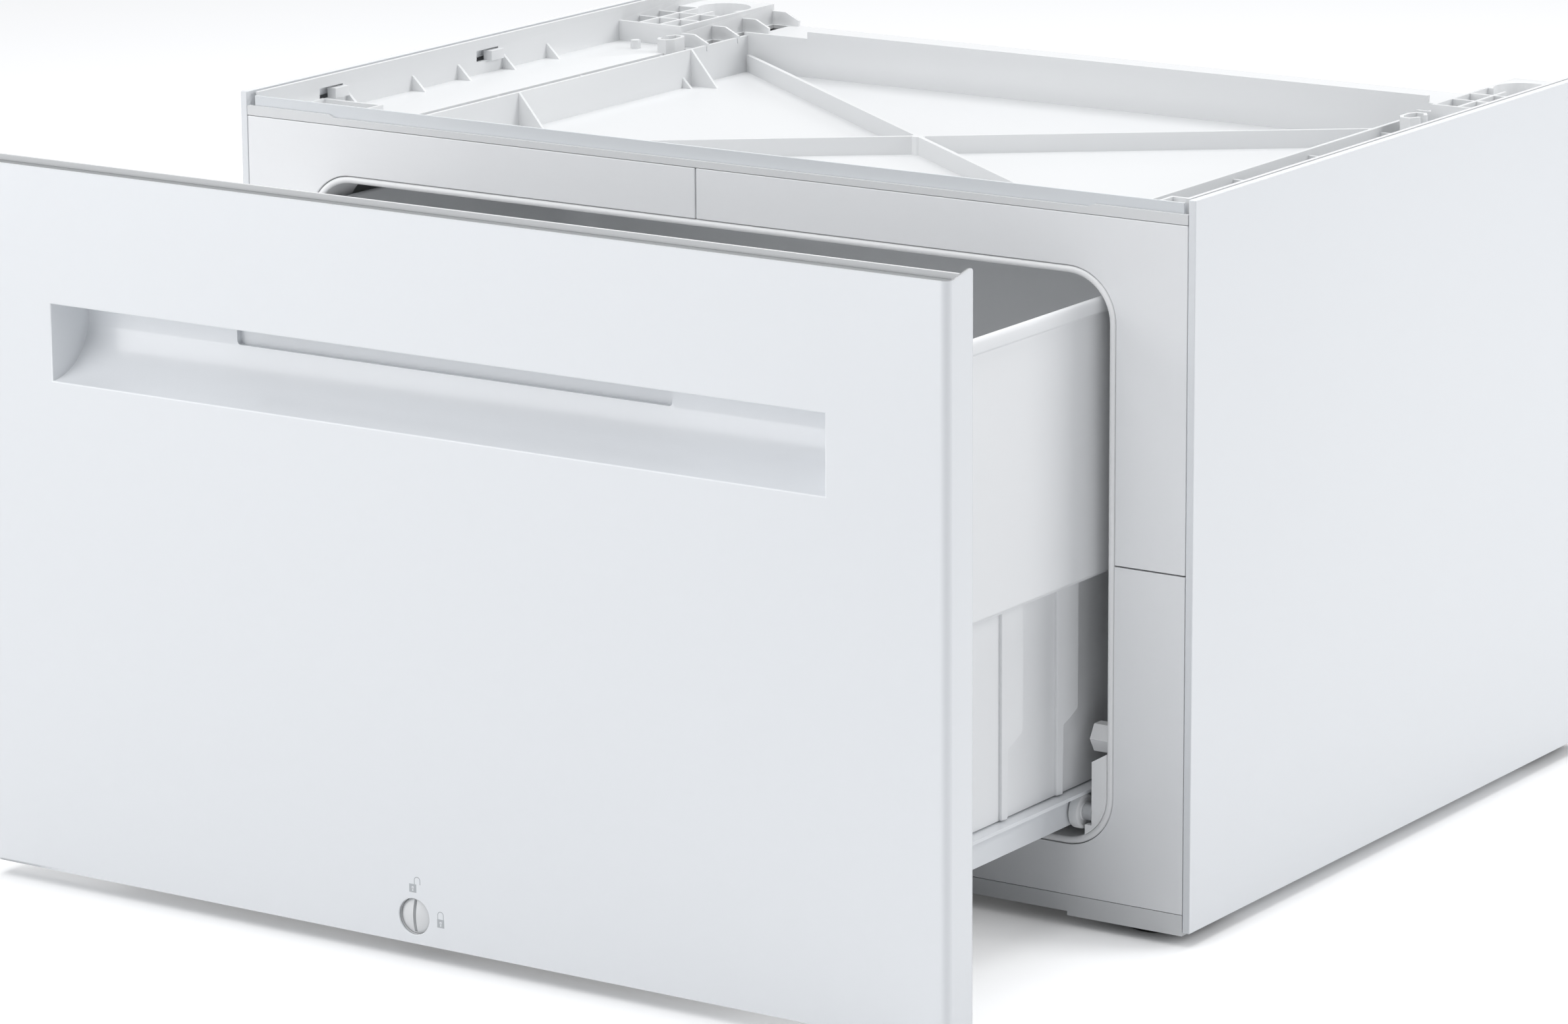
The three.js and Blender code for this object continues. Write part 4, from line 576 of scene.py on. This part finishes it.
def makeLiner():
    low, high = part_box("opening_liner")
    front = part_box("frame_upper_right")[0].y
    bm = bmesh.new()
    face = facePlate(bm, (-opening["half"], opening["low"]), (opening["half"], opening["high"]),
                     front + liner["start"])
    bmesh.ops.bevel(bm, geom=list(face.verts), offset=opening["radius"], segments=opening["steps"],
                    profile=0.5, affect="VERTICES", material=-1)
    face = bm.faces[:][0]
    # the flange goes outwards from the opening, the bead inwards
    middle = (opening["low"] + opening["high"]) / 2
    for vert in vertsOf(bmesh.ops.extrude_edge_only(bm, edges=list(face.edges))["geom"]):
        vert.co.x *= high.x / opening["half"]
        outer = high.z if vert.co.z > middle else low.z
        vert.co.z = middle + (vert.co.z - middle) * abs(outer - middle) / (opening["high"] - middle)
    openNotch(bm)
    bead = [(0, 0), (liner["gap"], liner["rise"])]
    for step in range(1, liner["steps"] + 1):
        angle = math.pi * step / liner["steps"]
        bead.append((liner["gap"] + liner["width"] * (1 - math.cos(angle)) / 2,
                     liner["rise"] + liner["crown"] * math.sin(angle)))
    for last, point in zip(bead, bead[1:]):
        bmesh.ops.inset_region(bm, faces=[face], thickness=point[0] - last[0], depth=point[1] - last[1],
                               use_boundary=True, use_even_offset=True)
    face = pushFace(bm, face)
    for vert in face.verts:
        vert.co.y = high.y
    bm.faces.remove(face)
    bmesh.ops.recalc_face_normals(bm, faces=bm.faces)
    # the liner takes the lighter copy of the moulded white: painted light
    piece = newPiece("openingLiner", bm, "cabinet", "moulded_white", ["opening_liner"], "liner_white", 40)
    thick = piece.modifiers.new("wall", "SOLIDIFY")
    thick.thickness = liner["wall"]
    thick.offset = -1
    addWeighted(piece)
    return piece


# bin: one shell from the outer floor over the rim to the inner floor, as heights and half widths in mm
binSizes = {"corner": 20 * mm, "cornerSteps": 8, "wall": 2.2 * mm, "lean": 6 * mm,
            "outside": ((55.5, 220.5), (55.9, 224.2), (57.6, 226.9), (61, 228.5), (74.3, 228.5),
                        (74.9, 230.5), (182.6, 230.5), (184.4, 231.4), (185.6, 233.4), (186.4, 237),
                        (187.0, 240.4), (188.0, 242.2), (189.6, 243.0), (322.6, 243.0), (323.3, 243.4),
                        (323.7, 244.4), (324.6, 245.0), (328.8, 245.0), (330.4, 244.6), (331.2, 243.8),
                        (331.5, 242.8)),
            "inside": ((331.4, 242.2), (330.9, 241.4), (329.8, 241.0), (190, 240.8), (186, 239.4),
                       (184.4, 235), (182.6, 229.6), (180, 228.3), (64, 226.3), (60, 223.6), (58, 218)),
            "rimFrom": 329, "rimInset": 4.2 * mm}


def makeBin():
    low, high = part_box("drawer_bin")
    bm = bmesh.new()
    half, middle, length = high.x, (low.y + high.y) / 2, high.y - low.y
    size = Matrix.Diagonal((2 * half, length, 1, 1))
    made = bmesh.ops.create_grid(bm, x_segments=1, y_segments=1, size=0.5,
                                 matrix=Matrix.Translation((0, middle, low.z)) @ size)
    bmesh.ops.bevel(bm, geom=made["verts"], offset=binSizes["corner"], segments=binSizes["cornerSteps"],
                    profile=0.5, affect="VERTICES", material=-1)
    face = bm.faces[:][0]
    unit = [(v.co.x / half, (v.co.y - middle) / (length / 2)) for v in face.verts]
    stack = [(z, width, 0) for z, width in binSizes["outside"]]
    for z, width in binSizes["inside"]:
        onRim = z > binSizes["rimFrom"]
        stack.append((z, width, min(half - width * mm, binSizes["rimInset"]) if onRim else binSizes["wall"]))
    for level, (z, width, inset) in enumerate(stack):
        if level:
            face = pushFace(bm, face)
        lean = binSizes["lean"] * (1 - (z * mm - low.z) / (high.z - low.z))
        front, rear = low.y + inset, high.y - inset - lean
        for vert, (u, v) in zip(face.verts, unit):
            vert.co = (u * width * mm, (front + rear) / 2 + v * (rear - front) / 2, z * mm)
    bmesh.ops.recalc_face_normals(bm, faces=bm.faces)
    piece = newPiece("binShell", bm, "drawer", "bin_plastic", ["drawer_bin"], sharpest=40)
    addWeighted(piece)
    return piece


# pads on the bin's lower walls: each has a rib at its front and a face that rises to the rear
pads = {"count": 8, "first": -272.8 * mm, "pitch": 53.3 * mm, "length": 17 * mm, "rib": 4.5 * mm,
        "thin": 1.5 * mm, "proud": 3.9 * mm, "top": 186.6 * mm, "low": 118 * mm, "slant": 7 * mm,
        "foot": 74.9 * mm, "wall": 230.5 * mm, "sunk": 1.5 * mm, "steps": 3, "round": 0.6 * mm}


def padOutlines(rear):
    # the rib and the strips of one pad, each as points (y, z)
    front = rear - pads["length"]
    bend = front + pads["rib"]
    width = rear - bend
    base, top = pads["low"] - pads["slant"], pads["top"]
    outlines = [((front, pads["foot"]), (bend, pads["foot"]), (bend, base), (bend, top), (front, top))]
    for step in range(pads["steps"]):
        start, end = step / pads["steps"], (step + 1) / pads["steps"]
        outlines.append(((bend + start * width, base + start * pads["slant"]),
                         (bend + end * width, base + end * pads["slant"]),
                         (bend + end * width, top), (bend + start * width, top)))
    return outlines


def makePads():
    bm = bmesh.new()
    for side in (-1, 1):
        x = side * (pads["wall"] - pads["sunk"])
        for number in range(pads["count"]):
            for outline in padOutlines(pads["first"] + number * pads["pitch"]):
                bm.faces.new([bm.verts.new((x, y, z)) for y, z in outline])
    bmesh.ops.remove_doubles(bm, verts=bm.verts, dist=tiny)
    nose = pads["first"] - pads["length"] - pads["rib"]
    for vert in vertsOf(bmesh.ops.extrude_face_region(bm, geom=bm.faces[:])["geom"]):
        share = ((vert.co.y - nose) % pads["pitch"] - pads["rib"]) / pads["length"]
        out = pads["thin"] + (pads["proud"] - pads["thin"]) * (1 - (1 - share) ** 2)
        vert.co.x = math.copysign(pads["wall"] + out, vert.co.x)
    bmesh.ops.recalc_face_normals(bm, faces=bm.faces)
    piece = newPiece("binPads", bm, "drawer", "bin_plastic", sharpest=40)
    addBevel(piece, pads["round"], 3)
    return piece


# each profile is (radius, distance along the axis)
roller = {"over": 1.005, "hub": 3.3 * mm, "hubEdge": 0.1 * mm, "hubRing": 1.2 * mm, "slope": 0.4 * mm,
          "rim": 7.4 * mm, "dip": 0.5 * mm, "tyreEdge": 1 * mm, "tyreRound": 0.3 * mm, "turns": 40}


def makeRoller(node):
    low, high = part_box(node)
    width, radius = high.x - low.x, (high.z - low.z) / 2 * roller["over"]
    ring, edge, corner = roller["hub"] + roller["hubRing"], roller["tyreEdge"], roller["tyreRound"]
    side = [(roller["hub"], roller["hubEdge"]), (ring, 0), (ring + roller["slope"], roller["dip"]),
            (roller["rim"] - roller["slope"], roller["dip"]), (roller["rim"], 0), (radius - edge, 0),
            (radius - corner, corner), (radius, edge)]
    points = side + [(r, width - along) for r, along in reversed(side)] + side[:1]
    bm = bmesh.new()
    spinProfile(bm, points, (low.x, boxMiddle(node).y, boxMiddle(node).z), (1, 0, 0), roller["turns"])
    return newPiece(camelName(node, "Wheel"), bm, bodyOf[node], "roller_plastic", [node])


# the head is (share of its radius, depth in mm), and the cross is cut one arm after the other
screw = {"over": 1.02, "head": ((0, 0.05), (0.45, 0.1), (0.8, 0.45), (1, 1.1), (1, 1.5)), "shank": 1.8 * mm,
         "neck": 1.6 * mm, "thread": 1.7 * mm, "pitch": 0.9 * mm, "crest": 0.25 * mm, "root": 0.6 * mm,
         "rootShare": 0.8, "plain": 0.7 * mm, "tip": 0.2 * mm, "tipShare": 0.5, "turns": 20,
         "arm": 0.42 * mm, "reach": 0.62, "crossDepth": 0.9 * mm, "sharpest": 35}


def makeScrew(node):
    low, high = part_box(node)
    x, y, z = boxMiddle(node).x, high.y, boxMiddle(node).z
    head, shank, length = (high.z - low.z) / 2 * screw["over"], screw["shank"], high.y - low.y
    points = [(head * share, depth * mm) for share, depth in screw["head"]] + [(shank, screw["neck"])]
    for turn in range(int((length - screw["thread"] - screw["plain"]) / screw["pitch"])):
        start = screw["thread"] + turn * screw["pitch"]
        points += [(shank, start + screw["crest"]), (shank * screw["rootShare"], start + screw["root"])]
    points += [(shank * screw["tipShare"], length - screw["tip"]), (0, length)]
    bm = bmesh.new()
    spinProfile(bm, points, (x, y, z), (0, -1, 0), screw["turns"])
    piece = newPiece(camelName(node, "Pan"), bm, bodyOf[node], "zinc_steel", [node])
    arm, reach = screw["arm"], head * screw["reach"]
    for wide, tall in ((arm, reach), (reach, arm)):
        carveBox(piece, (x - wide, y - screw["crossDepth"], z - tall), (x + wide, y + 1 * mm, z + tall))
    piece.data.set_sharp_from_angle(angle=math.radians(screw["sharpest"]))
    return piece


# a round pad (distance in from its edge, height in mm) on a threaded stem
glide = {"over": 1.003, "pad": ((1.2, 0), (0.3, 0.4), (0, 1.2), (0, 3.4), (0.5, 4.2), (1.6, 4.6)),
         "collar": 7.2 * mm, "collarLow": 4.6 * mm, "collarHigh": 5.8 * mm, "stem": 4 * mm,
         "stemLow": 5.9 * mm, "thread": 6.2 * mm, "pitch": 1.25 * mm, "threads": 12, "crest": 0.3 * mm,
         "root": 0.85 * mm, "rootRadius": 3.55 * mm, "tip": 3 * mm, "tipEdge": 0.2 * mm, "turns": 48}


def makeFoot(node):
    low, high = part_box(node)
    radius, tall = (high.x - low.x) / 2 * glide["over"], high.z - low.z
    points = [(0, 0)] + [(radius - inset * mm, up * mm) for inset, up in glide["pad"]]
    points += [(glide["collar"], glide["collarLow"]), (glide["collar"], glide["collarHigh"]),
               (glide["stem"], glide["stemLow"])]
    for turn in range(glide["threads"]):
        start = glide["thread"] + turn * glide["pitch"]
        points += [(glide["stem"], start + glide["crest"]), (glide["rootRadius"], start + glide["root"])]
    points += [(glide["tip"], tall - glide["tipEdge"]), (0, tall)]
    bm = bmesh.new()
    spinProfile(bm, points, (boxMiddle(node).x, boxMiddle(node).y, low.z), (0, 0, 1), glide["turns"])
    return newPiece(camelName(node, "Glide"), bm, bodyOf[node], "dark_rubber", [node])


# the other pieces are copies of CAD nodes whose sharp edges get a small radius, in mm
softWidths = {"side_panel": 0.7, "back_panel": 0.3, "top_tray": 0.35, "top_front_rail": 0.25,
              "bottom_tray": 0.4, "frame_upper": 0.55, "frame_lower": 0.55, "roller_bracket": 0.9,
              "front_axle": 0.25, "cabinet_rail": 0.3, "drawer_runner": 0.35, "rear_axle": 0.25,
              "door_core": 0.4, "door_inner_panel": 0.5, "lock_housing": 0.3, "lock_cam": 0.25}
# the frame plates and roller brackets take lighter copies of their white finishes: painted light where the
# door shades them
softFinishes = {"frame_upper": "frame_white", "frame_lower": "frame_white", "roller_bracket": "liner_white"}
softCopy = {"merge": 0.002 * mm, "flatAngle": 0.5, "manyCorners": 24}


def makeSoftened(node, width, finish):
    bm = bmesh.new()
    bm.from_mesh(frame["nodes"][node].data)
    bmesh.ops.remove_doubles(bm, verts=bm.verts, dist=softCopy["merge"])
    flat = math.radians(softCopy["flatAngle"])
    bmesh.ops.dissolve_limit(bm, angle_limit=flat, verts=bm.verts, edges=bm.edges)
    # a bevel folds over on faces with many corners
    bmesh.ops.triangulate(bm, faces=[f for f in bm.faces if len(f.verts) > softCopy["manyCorners"]])
    piece = newPiece(camelName(node, "Soft"), bm, bodyOf[node], slotOf[node], [node], finish)
    addBevel(piece, width)
    return piece


makeDoorFront()
makeKnob()
makePadlock("signOpen", sign["openPlace"], True)
makePadlock("signShut", sign["shutPlace"], False)
print("door front, knob and signs made")
makeLiner()
makeBin()
makePads()
print("liner and bin made")

for kind, width in softWidths.items():
    for node in (kind, kind + "_left", kind + "_right"):
        if node in slotOf:
            makeSoftened(node, width * mm, softFinishes.get(kind))
for node in slotOf:
    if node.startswith(("front_roller", "rear_roller")):
        makeRoller(node)
    elif "screw" in node:
        makeScrew(node)
    elif node.startswith("foot_"):
        makeFoot(node)
print("frame, trays and small parts made")

for node, shape in frame["nodes"].items():
    shape.data.materials.clear()
    shape.data.materials.append(materials[slotOf[node]])

# stage: pale floor with a painted contact shadow, white background, soft light
stage = {"floor": 6.4, "floorColor": (0.86, 0.865, 0.87, 1), "lift": 0.40, "contact": 0.05,
         "worldColor": (0.93, 0.95, 1.0, 1), "worldStrength": 0.30}


def makeFloor():
    bm = bmesh.new()
    bmesh.ops.create_grid(bm, x_segments=1, y_segments=1, size=stage["floor"] / 2)
    floor = bareObject("floor", bm)
    material = bpy.data.materials.new("floorPaper")
    material.use_nodes = True
    tree = material.node_tree
    shader = tree.nodes["Principled BSDF"]
    shader.inputs["Base Color"].default_value = stage["floorColor"]
    shader.inputs["Roughness"].default_value = 0.9
    shader.inputs["Specular IOR Level"].default_value = 0.0
    shader.inputs["Emission Color"].default_value = (1, 1, 1, 1)
    path = tree.nodes.new("ShaderNodeLightPath")
    # the floor's glow for camera rays is dimmed by ambient occlusion near the cabinet: a painted contact
    # shadow
    near = tree.nodes.new("ShaderNodeAmbientOcclusion")
    near.samples = 8
    near.inputs["Distance"].default_value = stage["contact"]
    seen = tree.nodes.new("ShaderNodeMath")
    seen.operation = "MULTIPLY"
    seen.inputs[1].default_value = stage["lift"]
    glowWithPaintedShade = tree.nodes.new("ShaderNodeMath")
    glowWithPaintedShade.operation = "MULTIPLY"
    link = tree.links.new
    link(path.outputs["Is Camera Ray"], seen.inputs[0])
    link(seen.outputs[0], glowWithPaintedShade.inputs[0])
    link(near.outputs["AO"], glowWithPaintedShade.inputs[1])
    link(glowWithPaintedShade.outputs[0], shader.inputs["Emission Strength"])
    floor.data.materials.append(material)


def makeWorld():
    world = bpy.data.worlds.new("studio")
    scene.world = world
    world.use_nodes = True
    tree = world.node_tree
    tree.nodes.clear()
    out = tree.nodes.new("ShaderNodeOutputWorld")
    soft = tree.nodes.new("ShaderNodeBackground")
    soft.inputs["Color"].default_value = stage["worldColor"]
    soft.inputs["Strength"].default_value = stage["worldStrength"]
    white = tree.nodes.new("ShaderNodeBackground")
    white.inputs["Color"].default_value = (1, 1, 1, 1)
    path = tree.nodes.new("ShaderNodeLightPath")
    either = tree.nodes.new("ShaderNodeMath")
    either.operation = "MAXIMUM"
    third = tree.nodes.new("ShaderNodeMath")
    third.operation = "MAXIMUM"
    mix = tree.nodes.new("ShaderNodeMixShader")
    link = tree.links.new
    link(path.outputs["Is Camera Ray"], either.inputs[0])
    link(path.outputs["Is Glossy Ray"], either.inputs[1])
    link(either.outputs[0], third.inputs[0])
    link(path.outputs["Is Transmission Ray"], third.inputs[1])
    link(third.outputs[0], mix.inputs["Fac"])
    link(soft.outputs[0], mix.inputs[1])
    link(white.outputs[0], mix.inputs[2])
    link(mix.outputs[0], out.inputs["Surface"])


# soft boxes, all turned to the middle of the cabinet
lamps = {"key": {"place": (-1.8, -2.7, 1.0), "size": 2.2, "power": 38},
         "side": {"place": (2.6, 1.5, 1.6), "size": 1.5, "power": 41},
         "top": {"place": (0, -1.5, 3.0), "size": 2.2, "power": 40},
         "back": {"place": (0, 1.0, 2.9), "size": 2.6, "power": 46}}
lampAim = (0, 0, 0.2)


def makeLamps():
    for name, lamp in lamps.items():
        data = bpy.data.lights.new(name, "AREA")
        data.shape = "SQUARE"
        data.size = lamp["size"]
        data.energy = lamp["power"]
        shape = bpy.data.objects.new(name, data)
        scene.collection.objects.link(shape)
        turn = (Vector(lampAim) - Vector(lamp["place"])).to_track_quat("-Z", "Y").to_matrix().to_4x4()
        shape.matrix_world = Matrix.Translation(lamp["place"]) @ turn


makeFloor()
makeWorld()
makeLamps()
print("stage made")
